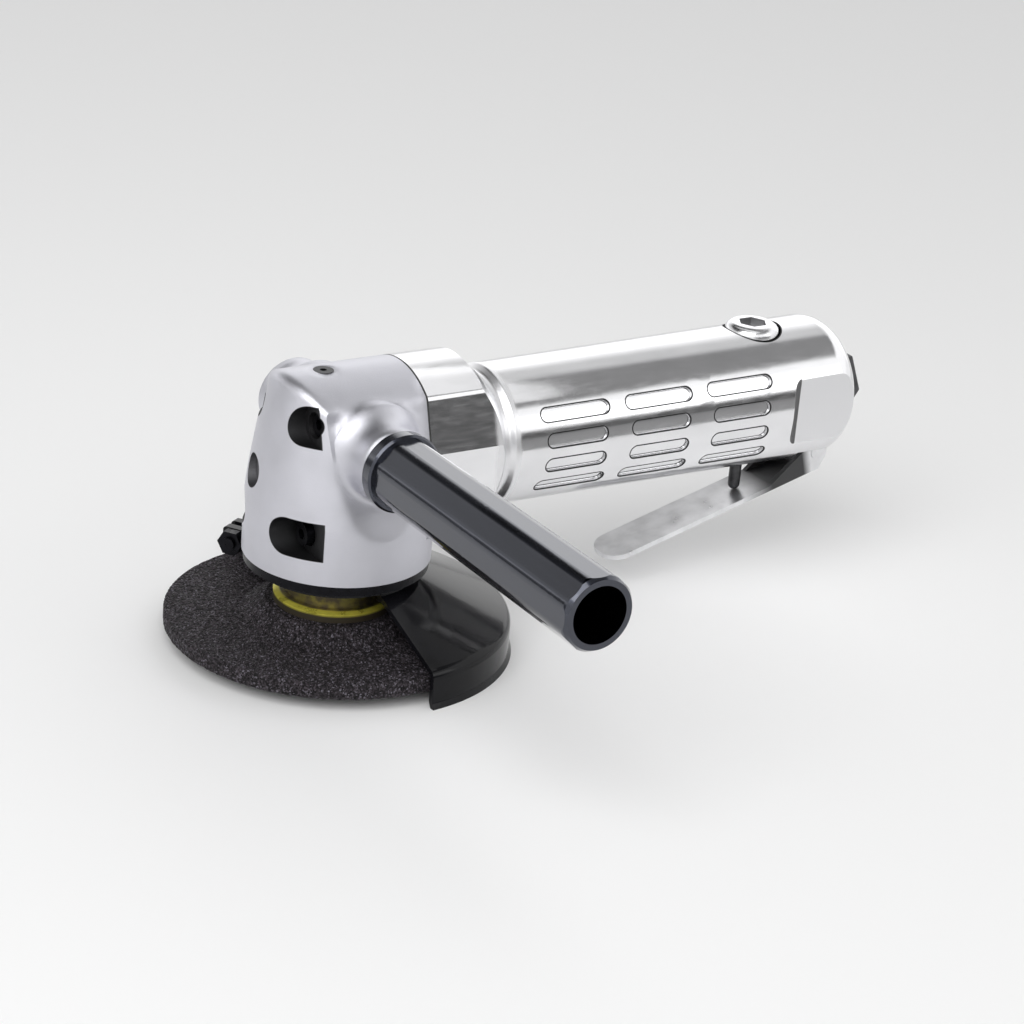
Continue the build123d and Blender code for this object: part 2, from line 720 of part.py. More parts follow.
# Gear head casting
head_radius = head_diameter / 2
head_edge = head_radius + edge_break
head_bend = head_base + head_straight
head_top_radius = head_top_diameter / 2
head_screw_places = [
    (side * head_screw_spread / 2, motor_height + level * head_screw_pitch / 2)
    for side in (-1, 1)
    for level in (-1, 1)
]
head_screw_seats = [lower_screw_seat, upper_screw_seat] * 2
with BuildPart() as gear_head:
    with BuildSketch(spindle_plane):
        with BuildLine():
            Polyline((0, head_top), (0, head_base), (head_radius, head_base), (head_radius, head_bend))
            ThreePointArc(
                (head_radius, head_bend),
                ((head_radius + head_top_radius) / 2 + head_swell, (head_bend + head_top) / 2 + head_swell),
                (head_top_radius, head_top),
            )
            Line((head_top_radius, head_top), (0, head_top))
        make_face()
    revolve(axis=Axis.Z)
    # Arched roof with a round rim, then the leaning sides
    extrude(
        roofed_section(Plane.YZ, head_edge, eave_fall, 0),
        amount=head_diameter,
        both=True,
        mode=Mode.INTERSECT,
    )
    rim = gear_head.edges().filter_by(
        lambda edge: edge.bounding_box().max.X < 0 and edge.bounding_box().min.Z > motor_height
    )
    fillet(rim, head_top_round)
    for side in (-1, 1):
        with BuildSketch(Plane.YZ):
            with BuildLine():
                Polyline(
                    (side * (crease - (head_top - crease_height) / side_fall), head_top),
                    (side * head_edge, head_top),
                    (side * head_edge, crease_height - (head_edge - crease) * side_fall),
                    close=True,
                )
            make_face()
        extrude(amount=head_diameter, both=True, mode=Mode.SUBTRACT)
    with BuildSketch(Plane.YZ.offset(seam_reach)):
        with Locations((0, ledge_height)):
            Rectangle(2 * head_diameter, head_top, align=(Align.CENTER, Align.MIN))
    extrude(amount=head_diameter, mode=Mode.SUBTRACT)
    extrude(neck_section(Plane.YZ.offset(seam_reach)), amount=-seam_reach)
    for side in (-1, 1):
        flare_start = (grip_boss_diameter / 2, side * (grip_boss_reach - grip_boss_straight))
        flare_end = (grip_boss_root / 2, side * grip_boss_foot)
        with BuildSketch(grip_plane):
            with BuildLine():
                TangentArc(flare_start, flare_end, tangent=(0, -side))
                Polyline(
                    flare_end,
                    (grip_boss_root / 2, 0),
                    (0, 0),
                    (0, side * grip_boss_reach),
                    (grip_boss_diameter / 2, side * grip_boss_reach),
                    flare_start,
                )
            make_face()
        revolve(axis=grip_axis)
    # Bores for the cap, the gear and the upper bearing
    revolve(
        section(
            spindle_plane,
            (0, head_base),
            (cap_spigot_diameter / 2 + fit, head_base),
            (cap_spigot_diameter / 2 + fit, lower_bearing_top),
            (gear_hub_diameter / 2 + gear_hub_gap, lower_bearing_top),
            (gear_hub_diameter / 2 + gear_hub_gap, chamber_floor),
            (chamber_radius, chamber_floor),
            (chamber_radius, chamber_top),
            (spindle_upper / 2 + chamber_gap, chamber_top),
            (spindle_upper / 2 + chamber_gap, upper_bearing_base),
            (upper_bearing_outer / 2 + fit, upper_bearing_base),
            (upper_bearing_outer / 2 + fit, upper_bearing_top),
            (spindle_upper / 2, upper_bearing_top),
            (spindle_upper / 2, upper_bearing_top + chamber_gap),
            (0, upper_bearing_top + chamber_gap),
        ),
        axis=Axis.Z,
        mode=Mode.SUBTRACT,
    )
    # Bores for the pinion and the motor's spigot
    revolve(
        section(
            motor_plane,
            (spindle_upper / 2, 0),
            (spindle_upper / 2, pinion_bore_radius),
            (spigot_start - side_gap, pinion_bore_radius),
            (spigot_start - side_gap, spigot_radius + fit),
            (seam_reach, spigot_radius + fit),
            (seam_reach, 0),
        ),
        axis=motor_axis,
        mode=Mode.SUBTRACT,
    )
    with BuildSketch(Plane.YZ.offset(pocket_floor)):
        for across, height in head_screw_places:
            with Locations((across, height)):
                Circle(pocket_width / 2)
                outward = Align.MIN if across > 0 else Align.MAX
                Rectangle(head_radius, pocket_width, align=(outward, Align.CENTER))
    extrude(amount=-head_diameter, mode=Mode.SUBTRACT)
    for place, seat in zip(head_screw_places, head_screw_seats):
        with BuildSketch(Plane.YZ.offset(seat)):
            with Locations(place):
                Circle(counterbore / 2)
        extrude(amount=pocket_floor - seat, mode=Mode.SUBTRACT)
    with BuildSketch(Plane.YZ.offset(pocket_floor)):
        with Locations(*head_screw_places):
            Circle(head_screw / 2 + screw_gap)
    extrude(amount=seam_reach - pocket_floor, mode=Mode.SUBTRACT)
    for side in (-1, 1):
        with BuildSketch(Plane.XZ.offset(side * grip_boss_reach)):
            with Locations((0, grip_height)):
                Circle(grip_thread / 2 + fit)
        extrude(amount=-side * grip_thread_depth, mode=Mode.SUBTRACT)
    nose_turn = radians(nose_recess_turn)
    nose = Plane(
        origin=(0, 0, nose_recess_height),
        x_dir=(-sin(nose_turn), cos(nose_turn), 0),
        z_dir=(cos(nose_turn), sin(nose_turn), 0),
    )
    with BuildSketch(nose.offset(head_radius - nose_recess_depth)):
        Circle(nose_recess / 2)
    extrude(amount=2 * nose_recess_depth, mode=Mode.SUBTRACT)
    with BuildSketch(Plane.XY.offset(crown_height)):
        with Locations((grease_reach, 0)):
            Circle(grease_diameter / 2 + fit)
    extrude(amount=-grease_length, mode=Mode.SUBTRACT)

# Flush grease fitting
with BuildPart() as grease_fitting:
    with BuildSketch(Plane.XY.offset(crown_height - grease_length)):
        with Locations((grease_reach, 0)):
            Circle(grease_diameter / 2)
            Circle(grease_diameter / 6, mode=Mode.SUBTRACT)
    extrude(amount=grease_length)

# Gasket in the seam
with BuildPart() as head_gasket:
    with BuildSketch(Plane.YZ.offset(seam_reach)):
        add(neck_section(Plane.XY))
        with Locations((0, motor_height)):
            Circle(motor_bore / 2, mode=Mode.SUBTRACT)
        with Locations(*head_screw_places):
            Circle(head_screw / 2 + screw_gap, mode=Mode.SUBTRACT)
    extrude(amount=gasket_thickness)

# Screws that hold the head to the motor housing
head_screw_tip = housing_front + head_screw_grip
head_screws = []
for place, seat in zip(head_screw_places, head_screw_seats):
    with BuildPart() as socket_screw:
        with BuildSketch(Plane.YZ.offset(seat)):
            with Locations(place):
                Circle(head_screw_head / 2)
        extrude(amount=-head_screw_height)
        with BuildSketch(Plane.YZ.offset(seat)):
            with Locations(place):
                Circle(head_screw / 2)
        extrude(amount=head_screw_tip - seat)
        with BuildSketch(Plane.YZ.offset(seat - head_screw_height)):
            with Locations(place):
                RegularPolygon(head_screw_socket / 2, 6, major_radius=False)
        extrude(amount=head_screw_socket_depth, mode=Mode.SUBTRACT)
    head_screws.append(socket_screw)

# Wheel guard: half plate, skirt and split collar
collar_bore = cap_neck_radius + collar_gap
collar_radius = collar_bore + collar_thickness
collar_top = cap_flange_base - side_gap
collar_base = guard_plate_root - guard_thickness - edge_break
plate_start = (collar_bore + collar_radius) / 2
plate_run = guard_radius - guard_bend - collar_radius
plate_fall = (guard_plate_root - guard_plate_edge) / plate_run
plate_depth = guard_thickness * sqrt(1 + plate_fall**2)
skirt_inside = guard_radius - guard_thickness


def plate_height(radius):
    """Height of the plate's upper face at a radius."""
    return guard_plate_root - plate_fall * (radius - collar_radius)


def upright_plane(turn):
    """Plane through the spindle axis, turned about it: points are (radius, height)."""
    return Plane(origin=(0, 0, 0), x_dir=(cos(turn), sin(turn), 0), z_dir=(sin(turn), -cos(turn), 0))


guard_plane = upright_plane(radians(guard_start))
ear_plane = upright_plane(radians(ear_turn))
ear_start = collar_bore + collar_thickness / 2
ear_end = collar_radius + ear_reach
ear_middle = (collar_base + ear_top) / 2
ear_inside = cap_flange_diameter / 2 + shaft_gap
ear_hole = (ear_inside + ear_end) / 2
ear_span = collar_split + 2 * ear_thickness
with BuildPart() as wheel_guard:
    with BuildSketch(guard_plane) as guard_half:
        with BuildLine():
            outside = FilletPolyline(
                (plate_start, plate_height(plate_start)),
                (guard_radius, plate_height(guard_radius)),
                (guard_radius, guard_skirt_foot + 2 * guard_lip),
                (guard_radius + guard_lip, guard_skirt_foot),
                radius=[guard_bend, guard_lip],
            )
            inside = FilletPolyline(
                (plate_start, plate_height(plate_start) - plate_depth),
                (skirt_inside, plate_height(skirt_inside) - plate_depth),
                (skirt_inside, guard_skirt_foot + 2 * guard_lip),
                (skirt_inside + guard_lip, guard_skirt_foot),
                radius=[guard_bend - guard_thickness, guard_lip],
            )
            Line(outside @ 0, inside @ 0)
            Line(outside @ 1, inside @ 1)
        make_face()
        with Locations((collar_bore, collar_base)):
            Rectangle(collar_thickness, collar_top - collar_base, align=Align.MIN)
    revolve(axis=Axis.Z, revolution_arc=guard_arc)
    with BuildSketch(Plane.XY.offset(cap_neck_base)):
        Circle(collar_radius)
        Circle(collar_bore, mode=Mode.SUBTRACT)
    extrude(amount=collar_top - cap_neck_base)
    with BuildSketch(ear_plane.offset(-ear_span / 2)):
        with Locations((ear_start, collar_base)):
            Rectangle(ear_inside - ear_start + ear_round, collar_top - collar_base, align=Align.MIN)
        with Locations(((ear_inside + ear_end) / 2, ear_middle)):
            RectangleRounded(ear_end - ear_inside, ear_top - collar_base, ear_round)
        with Locations((ear_hole, ear_middle)):
            Circle(clamp_screw / 2 + screw_gap, mode=Mode.SUBTRACT)
    extrude(amount=ear_span)
    with BuildSketch(ear_plane.offset(-collar_split / 2)):
        with Locations((collar_bore, ear_middle)):
            Rectangle(2 * (ear_end - collar_bore), 2 * collar_top)
    extrude(amount=collar_split, mode=Mode.SUBTRACT)

# Clamp screw and nut of the guard's collar
with BuildPart() as guard_clamp_screw:
    with BuildSketch(ear_plane.offset(ear_span / 2)):
        with Locations((ear_hole, ear_middle)):
            Circle(clamp_screw_head / 2)
    extrude(amount=clamp_head_height)
    with BuildSketch(ear_plane.offset(ear_span / 2)):
        with Locations((ear_hole, ear_middle)):
            Circle(clamp_screw / 2)
    extrude(amount=-ear_span - clamp_nut_thickness - thread_end)
    with BuildSketch(ear_plane.offset(ear_span / 2 + clamp_head_height)):
        with Locations((ear_hole, ear_middle)):
            RegularPolygon(clamp_socket / 2, 6, major_radius=False)
    extrude(amount=-clamp_socket_depth, mode=Mode.SUBTRACT)

with BuildPart() as guard_clamp_nut:
    with BuildSketch(ear_plane.offset(-ear_span / 2)):
        with Locations((ear_hole, ear_middle)):
            RegularPolygon(clamp_nut_flats / 2, 6, major_radius=False)
            Circle(clamp_screw / 2 + fit, mode=Mode.SUBTRACT)
    extrude(amount=-clamp_nut_thickness)

# Motor housing: square neck running into a round barrel
barrel_radius = barrel_rear_diameter / 2
waist_radius = waist_diameter / 2
shoulder_end = barrel_front + barrel_front_slope
barrel_taper = (barrel_rear_diameter - barrel_front_diameter) / 2 / (barrel_rear - shoulder_end)


def barrel_radius_at(reach):
    """Radius of the tapering barrel at a place along the body."""
    return barrel_front_diameter / 2 + barrel_taper * (reach - shoulder_end)


with BuildPart() as motor_housing:
    revolve(
        section(
            motor_plane,
            (housing_front, 0),
            (housing_front, neck_envelope),
            (housing_front + neck_straight, neck_envelope),
            (waist_start, waist_radius),
            (barrel_front, waist_radius),
            (barrel_front, 0),
        ),
        axis=motor_axis,
    )
    extrude(
        neck_section(Plane.YZ.offset(housing_front)),
        amount=barrel_front - housing_front,
        mode=Mode.INTERSECT,
    )
    with BuildSketch(motor_plane):
        with BuildLine():
            outline = FilletPolyline(
                (waist_start, 0),
                (waist_start, waist_radius),
                (barrel_front, waist_radius),
                (shoulder_end, barrel_front_diameter / 2),
                (barrel_rear, barrel_radius),
                (barrel_rear, 0),
                radius=[0, barrel_front_round, barrel_front_round, barrel_rear_round],
            )
            Line(outline @ 1, outline @ 0)
        make_face()
    revolve(axis=motor_axis)
    # Shallow slots in both sides of the barrel, with floors that follow it
    for side in (-1, 1):
        for row in range(slot_rows):
            tilt = radians(slot_row_angle * (row - (slot_rows - 1) / 2))
            length = slot_length if row in (0, slot_rows - 1) else slot_short
            for group in range(slot_groups):
                reach = slot_first + slot_pitch * group
                face = Plane(
                    origin=(reach, 0, motor_height),
                    x_dir=(1, 0, 0),
                    z_dir=(0, side * cos(tilt), sin(tilt)),
                )
                with BuildSketch(face.offset(barrel_radius_at(reach) - 2 * slot_depth)):
                    SlotOverall(length, slot_width)
                extrude(amount=4 * slot_depth, mode=Mode.SUBTRACT)
    floor_start = slot_first - slot_length / 2 - slot_margin
    floor_end = slot_first + slot_pitch * (slot_groups - 1) + slot_length / 2 + slot_margin
    revolve(
        section(
            motor_plane,
            (floor_start, 0),
            (floor_start, barrel_radius_at(floor_start) - slot_depth),
            (floor_end, barrel_radius_at(floor_end) - slot_depth),
            (floor_end, 0),
        ),
        axis=motor_axis,
    )
    # Wrench flats with the cutter's run-out, and the flat underside behind the valve
    flat_start = barrel_rear - flat_length
    runout_middle = flat_runout * (1 - sqrt(0.5))
    for side in (-1, 1):
        with BuildSketch(Plane.XY.offset(motor_height - barrel_rear_diameter)):
            with BuildLine():
                ThreePointArc(
                    (flat_start - flat_runout, side * (flat_across / 2 + flat_runout)),
                    (flat_start - flat_runout * sqrt(0.5), side * (flat_across / 2 + runout_middle)),
                    (flat_start, side * flat_across / 2),
                )
                Polyline(
                    (flat_start, side * flat_across / 2),
                    (barrel_rear + edge_break, side * flat_across / 2),
                    (barrel_rear + edge_break, side * barrel_rear_diameter),
                    (flat_start - flat_runout, side * barrel_rear_diameter),
                    (flat_start - flat_runout, side * (flat_across / 2 + flat_runout)),
                )
            make_face()
        extrude(amount=2 * barrel_rear_diameter, mode=Mode.SUBTRACT)
    with BuildSketch(Plane.YZ.offset(barrel_rear)):
        with Locations((0, underside_height)):
            Rectangle(
                2 * barrel_rear_diameter, barrel_rear_diameter, align=(Align.CENTER, Align.MAX)
            )
    extrude(amount=-underside_length, mode=Mode.SUBTRACT)
    # Lug of the lever
    with BuildSketch(Plane.XZ):
        with Locations((pivot_reach, pivot_height)):
            Circle(lug_radius)
            Rectangle(
                2 * lug_radius, underside_height - pivot_height + lug_gap, align=(Align.CENTER, Align.MIN)
            )
    extrude(amount=lug_half_width, both=True)
    with BuildSketch(Plane.XZ):
        with Locations((pivot_reach, pivot_height)):
            Circle(pivot_pin / 2 + fit)
    extrude(amount=lever_width, both=True, mode=Mode.SUBTRACT)
    # Motor bore, inlet bore and the air way between inlet and valve
    revolve(
        section(
            motor_plane,
            (housing_front, 0),
            (housing_front, motor_bore / 2),
            (motor_bore_end, motor_bore / 2),
            (motor_bore_end, 0),
        ),
        axis=motor_axis,
        mode=Mode.SUBTRACT,
    )
    with BuildSketch(Plane.YZ.offset(barrel_rear)):
        with Locations((0, motor_height)):
            Circle(inlet_thread / 2)
    extrude(amount=inlet_floor - barrel_rear, mode=Mode.SUBTRACT)
    with BuildSketch(Plane.YZ.offset(inlet_floor)):
        with Locations((0, air_way_height)):
            Circle(air_way / 2)
    extrude(amount=valve_reach - inlet_floor, mode=Mode.SUBTRACT)
    # Way from the valve to the motor, and the exhaust to the rear
    with BuildSketch(Plane.YZ.offset(valve_reach)):
        with Locations((0, motor_way_height)):
            Circle(motor_way / 2)
    extrude(amount=motor_bore_end - valve_reach, mode=Mode.SUBTRACT)
    with BuildSketch(Plane.YZ.offset(barrel_rear)):
        with Locations((0, motor_height)):
            with PolarLocations(
                exhaust_ring_diameter / 2,
                exhaust_holes,
                start_angle=-exhaust_step * (exhaust_holes - 1) / 2,
                angular_range=exhaust_step * (exhaust_holes - 1),
                endpoint=True,
            ):
                Circle(exhaust_hole / 2)
    extrude(amount=motor_bore_end - barrel_rear, mode=Mode.SUBTRACT)
    # Stepped valve bore, open above for the plug and below for the stem
    revolve(
        section(
            spindle_plane,
            (valve_reach, 0),
            (valve_reach + stem_radius + running_fit, 0),
            (valve_reach + stem_radius + running_fit, valve_chamber_floor),
            (valve_reach + valve_port / 2, valve_chamber_floor),
            (valve_reach + valve_port / 2, valve_bush_base),
            (valve_reach + valve_bore / 2, valve_bush_base),
            (valve_reach + valve_bore / 2, plug_seat - seal_section),
            (valve_reach + seal_gland / 2, plug_seat - seal_section),
            (valve_reach + seal_gland / 2, plug_seat),
            (valve_reach + plug_recess / 2, plug_seat),
            (valve_reach + plug_recess / 2, motor_height + barrel_rear_diameter),
            (valve_reach, motor_height + barrel_rear_diameter),
        ),
        axis=valve_axis,
        mode=Mode.SUBTRACT,
    )
    with BuildSketch(Plane.YZ.offset(housing_front)):
        with Locations(*head_screw_places):
            Circle(head_screw / 2 + fit)
    extrude(amount=head_screw_grip + thread_end, mode=Mode.SUBTRACT)

# Vane motor, stacked in the housing's bore
stack_radius = motor_bore / 2 - fit
with BuildPart() as front_plate:
    revolve(
        section(
            motor_plane,
            (spigot_start, front_bearing_outer / 2 + fit),
            (spigot_start, spigot_radius),
            (housing_front, spigot_radius),
            (housing_front, stack_radius),
            (rotor_start, stack_radius),
            (rotor_start, front_bearing_bore / 2 + shaft_gap),
            (front_bearing_end, front_bearing_bore / 2 + shaft_gap),
            (front_bearing_end, front_bearing_outer / 2 + fit),
        ),
        axis=motor_axis,
    )

with BuildPart() as front_bearing:
    revolve(
        bearing_section(
            motor_plane, front_bearing_bore, front_bearing_outer,
            front_bearing_start, front_bearing_width, False,
        ),
        axis=motor_axis,
    )

with BuildPart() as motor_cylinder:
    with BuildSketch(Plane.YZ.offset(rotor_start)):
        with Locations((0, motor_height)):
            Circle(stack_radius)
            with Locations((exhaust_flat, 0)):
                Rectangle(motor_bore, motor_bore, align=(Align.MIN, Align.CENTER), mode=Mode.SUBTRACT)
        with Locations((0, motor_height + cylinder_eccentricity)):
            Circle(cylinder_bore / 2, mode=Mode.SUBTRACT)
    extrude(amount=cylinder_length)
    port_pitch = cylinder_length / (cylinder_ports + 1)
    with BuildSketch(Plane.XZ):
        with Locations((rotor_start + cylinder_length / 2, motor_height)):
            with GridLocations(port_pitch, 1, cylinder_ports, 1):
                Circle(cylinder_port / 2)
    extrude(amount=-motor_bore, mode=Mode.SUBTRACT)
    with BuildSketch(Plane.YZ.offset(rotor_end)):
        with Locations((0, motor_way_height)):
            Circle(supply_drill / 2)
    extrude(amount=port_pitch / 2 - cylinder_length, mode=Mode.SUBTRACT)
    with BuildSketch(Plane.XY.offset(motor_way_height)):
        with Locations((rotor_start + cylinder_length / 2, 0)):
            with GridLocations(port_pitch, 1, cylinder_ports, 1):
                Circle(supply_port / 2)
    extrude(amount=motor_bore / 4, mode=Mode.SUBTRACT)

with BuildPart() as rear_plate:
    revolve(
        section(
            motor_plane,
            (rotor_end, rear_bearing_bore / 2 + shaft_gap),
            (rotor_end, stack_radius),
            (rear_plate_end, stack_radius),
            (rear_plate_end, rear_bearing_outer / 2 + fit),
            (rear_bearing_start, rear_bearing_outer / 2 + fit),
            (rear_bearing_start, rear_bearing_bore / 2 + shaft_gap),
        ),
        axis=motor_axis,
    )
    with BuildSketch(Plane.YZ.offset(rotor_end)):
        with Locations((0, motor_way_height)):
            Circle(motor_way / 2)
        with Locations((exhaust_flat, motor_height)):
            Rectangle(motor_bore, motor_bore, align=(Align.MIN, Align.CENTER))
    extrude(amount=rear_plate_end - rotor_end, mode=Mode.SUBTRACT)

with BuildPart() as rear_bearing:
    revolve(
        bearing_section(
            motor_plane, rear_bearing_bore, rear_bearing_outer,
            rear_bearing_start, rear_bearing_width, False,
        ),
        axis=motor_axis,
    )

with BuildPart() as thrust_washer:
    with BuildSketch(Plane.YZ.offset(rear_plate_end)):
        with Locations((0, motor_height)):
            Circle(stack_radius)
            Circle(washer_bore / 2, mode=Mode.SUBTRACT)
        with Locations((0, motor_way_height)):
            Circle(motor_way / 2, mode=Mode.SUBTRACT)
        with Locations((exhaust_flat, motor_height)):
            Rectangle(motor_bore, motor_bore, align=(Align.MIN, Align.CENTER), mode=Mode.SUBTRACT)
    extrude(amount=washer_thickness)

# Rotor with its slots, and the vanes that ride in them
slot_floor = rotor_diameter / 2 - vane_depth
rotor_front = rotor_start + sealing_gap
rotor_back = rotor_end - sealing_gap
with BuildPart() as rotor:
    revolve(
        section(
            motor_plane,
            (pinion_front, 0),
            (pinion_front, pinion_bore / 2),
            (pinion_back, pinion_bore / 2),
            (pinion_back, front_bearing_bore / 2 - running_fit),
            (rotor_front, front_bearing_bore / 2 - running_fit),
            (rotor_front, rotor_diameter / 2),
            (rotor_back, rotor_diameter / 2),
            (rotor_back, rear_bearing_bore / 2 - running_fit),
            (rear_plate_end, rear_bearing_bore / 2 - running_fit),
            (rear_plate_end, 0),
        ),
        axis=motor_axis,
    )
    with BuildSketch(Plane.YZ.offset(rotor_front)):
        with Locations((0, motor_height)):
            with PolarLocations(slot_floor, vane_count):
                Rectangle(vane_depth + 1, vane_thickness, align=(Align.MIN, Align.CENTER))
    extrude(amount=rotor_back - rotor_front, mode=Mode.SUBTRACT)

rotor_vanes = []
for index in range(vane_count):
    with BuildPart() as vane:
        with BuildSketch(Plane.YZ.offset(rotor_front)):
            with Locations((0, motor_height)):
                with PolarLocations(slot_floor + 2 * vane_gap, 1, start_angle=360 / vane_count * index):
                    Rectangle(
                        vane_depth - 4 * vane_gap,
                        vane_thickness - 2 * vane_gap,
                        align=(Align.MIN, Align.CENTER),
                    )
        extrude(amount=rotor_back - rotor_front)
    rotor_vanes.append(vane)

# Throttle valve: seat bush, stem with poppet, spring, plug and its seal ring
with BuildPart() as valve_bush:
    with BuildSketch(Plane.XY.offset(valve_bush_base)):
        with Locations((valve_reach, 0)):
            Circle(valve_bore / 2 - fit)
            Circle(valve_bush_bore / 2, mode=Mode.SUBTRACT)
    extrude(amount=valve_bush_length)

poppet_base = valve_seat_height + poppet_gap
poppet_top = poppet_base + poppet_thickness
with BuildPart() as valve_stem:
    with BuildSketch(spindle_plane):
        with BuildLine():
            Polyline(
                (valve_reach + stem_radius, stem_centre),
                (valve_reach + stem_radius, poppet_base),
                (valve_reach + poppet_diameter / 2, poppet_base),
                (valve_reach + poppet_diameter / 2, poppet_top),
                (valve_reach + spigot_diameter / 2, poppet_top),
                (valve_reach + spigot_diameter / 2, poppet_top + spigot_length),
                (valve_reach, poppet_top + spigot_length),
                (valve_reach, stem_centre - stem_radius),
            )
            RadiusArc(
                (valve_reach, stem_centre - stem_radius),
                (valve_reach + stem_radius, stem_centre),
                -stem_radius,
            )
        make_face()
    revolve(axis=valve_axis)

spring_base = poppet_top + spring_wire / 2 + sealing_gap
spring_top = plug_thread_base + spring_pocket - spring_wire / 2 - sealing_gap
with BuildPart() as valve_spring:
    with BuildLine():
        coil = Helix(
            pitch=(spring_top - spring_base) / spring_turns,
            height=spring_top - spring_base,
            radius=spring_diameter / 2,
            center=(valve_reach, 0, spring_base),
        )
    with BuildSketch(Plane(origin=coil @ 0, z_dir=coil % 0)):
        RegularPolygon(spring_wire / 2, 8)
    sweep(path=coil, is_frenet=True)

plug_side = plug_seat + plug_side_height
plug_top = plug_seat + plug_crown
gland_radius = seal_gland / 2 - seal_section
with BuildPart() as valve_plug:
    with BuildSketch(spindle_plane):
        with BuildLine():
            Polyline(
                (valve_reach + plug_diameter / 2, plug_side),
                (valve_reach + plug_diameter / 2, plug_seat),
                (valve_reach + gland_radius, plug_seat),
                (valve_reach + gland_radius, plug_seat - seal_section),
                (valve_reach + valve_bore / 2 - fit, plug_seat - seal_section),
                (valve_reach + valve_bore / 2 - fit, plug_thread_base),
                (valve_reach + (spring_diameter + spring_wire) / 2 + side_gap, plug_thread_base),
                (
                    valve_reach + (spring_diameter + spring_wire) / 2 + side_gap,
                    plug_thread_base + spring_pocket,
                ),
                (valve_reach, plug_thread_base + spring_pocket),
                (valve_reach, plug_top),
                (valve_reach + plug_flat / 2, plug_top),
            )
            TangentArc(
                (valve_reach + plug_diameter / 2, plug_side),
                (valve_reach + plug_flat / 2, plug_top),
                tangent=(0, 1),
            )
        make_face()
    revolve(axis=valve_axis)
    with BuildSketch(Plane.XY.offset(plug_top)):
        with Locations((valve_reach, 0)):
            RegularPolygon(plug_socket / 2, 6, major_radius=False)
    extrude(amount=-plug_socket_depth, mode=Mode.SUBTRACT)

with BuildPart() as plug_seal:
    with BuildSketch(spindle_plane):
        with Locations((valve_reach + gland_radius + seal_section / 2, plug_seat - seal_section / 2)):
            Circle(seal_section / 2 - fit)
    revolve(axis=valve_axis)

# Air inlet bushing and the screen it holds
with BuildPart() as inlet_bushing:
    with BuildSketch(Plane.YZ.offset(barrel_rear)):
        with Locations((0, motor_height)):
            RegularPolygon(inlet_flats / 2, 6, major_radius=False)
    extrude(amount=inlet_head)
    chamfer(inlet_bushing.faces().sort_by(Axis.X)[-1].edges(), edge_break)
    with BuildSketch(Plane.YZ.offset(barrel_rear)):
        with Locations((0, motor_height)):
            Circle(inlet_thread / 2 - fit)
    extrude(amount=-inlet_depth)
    with BuildSketch(Plane.YZ.offset(barrel_rear - inlet_depth)):
        with Locations((0, motor_height)):
            Circle(inlet_bore / 2)
    extrude(amount=inlet_depth + inlet_head, mode=Mode.SUBTRACT)

with BuildPart() as inlet_screen:
    with BuildSketch(Plane.YZ.offset(inlet_floor)):
        with Locations((0, motor_height)):
            Circle(inlet_thread / 2 - fit)
            Circle(screen_hole / 2, mode=Mode.SUBTRACT)
            with PolarLocations(inlet_bore / 2 - screen_hole / 2 - side_gap, screen_holes):
                Circle(screen_hole / 2, mode=Mode.SUBTRACT)
    extrude(amount=screen_thickness)

# Throttle lever: a plate with two ears on the pin, drawn along its own slope
pivot = Vector(pivot_reach, 0, pivot_height)
forward = Vector(-cos(lever_slope), 0, -sin(lever_slope))
upward = Vector(-sin(lever_slope), 0, cos(lever_slope))
side_plane = Plane(origin=pivot, x_dir=forward, z_dir=(0, 1, 0))
plate_plane = Plane(origin=pivot - upward * (lever_drop + lever_thickness), x_dir=forward, z_dir=upward)
lever_inside = lever_width / 2 - lever_thickness
with BuildPart() as throttle_lever:
    with BuildSketch(plate_plane) as plate_plan:
        Rectangle(lever_length, lever_width, align=(Align.MIN, Align.CENTER))
        fillet(plate_plan.vertices().sort_by(Axis.X)[-2:], lever_tip_round)
    extrude(amount=lever_thickness)
    for side in (-1, 1):
        with BuildSketch(side_plane.offset(side * lever_inside)):
            Circle(lever_ear)
            with Locations((0, -lever_drop)):
                Rectangle(lever_ear_length, lever_thickness, align=(Align.MIN, Align.MAX))
            make_hull()
            Circle(pivot_pin / 2 + running_fit, mode=Mode.SUBTRACT)
        extrude(amount=side * lever_thickness)

with BuildPart() as lever_pin:
    with BuildSketch(Plane.XZ):
        with Locations((pivot_reach, pivot_height)):
            Circle(pivot_pin / 2)
    extrude(amount=lever_width / 2 + side_gap, both=True)

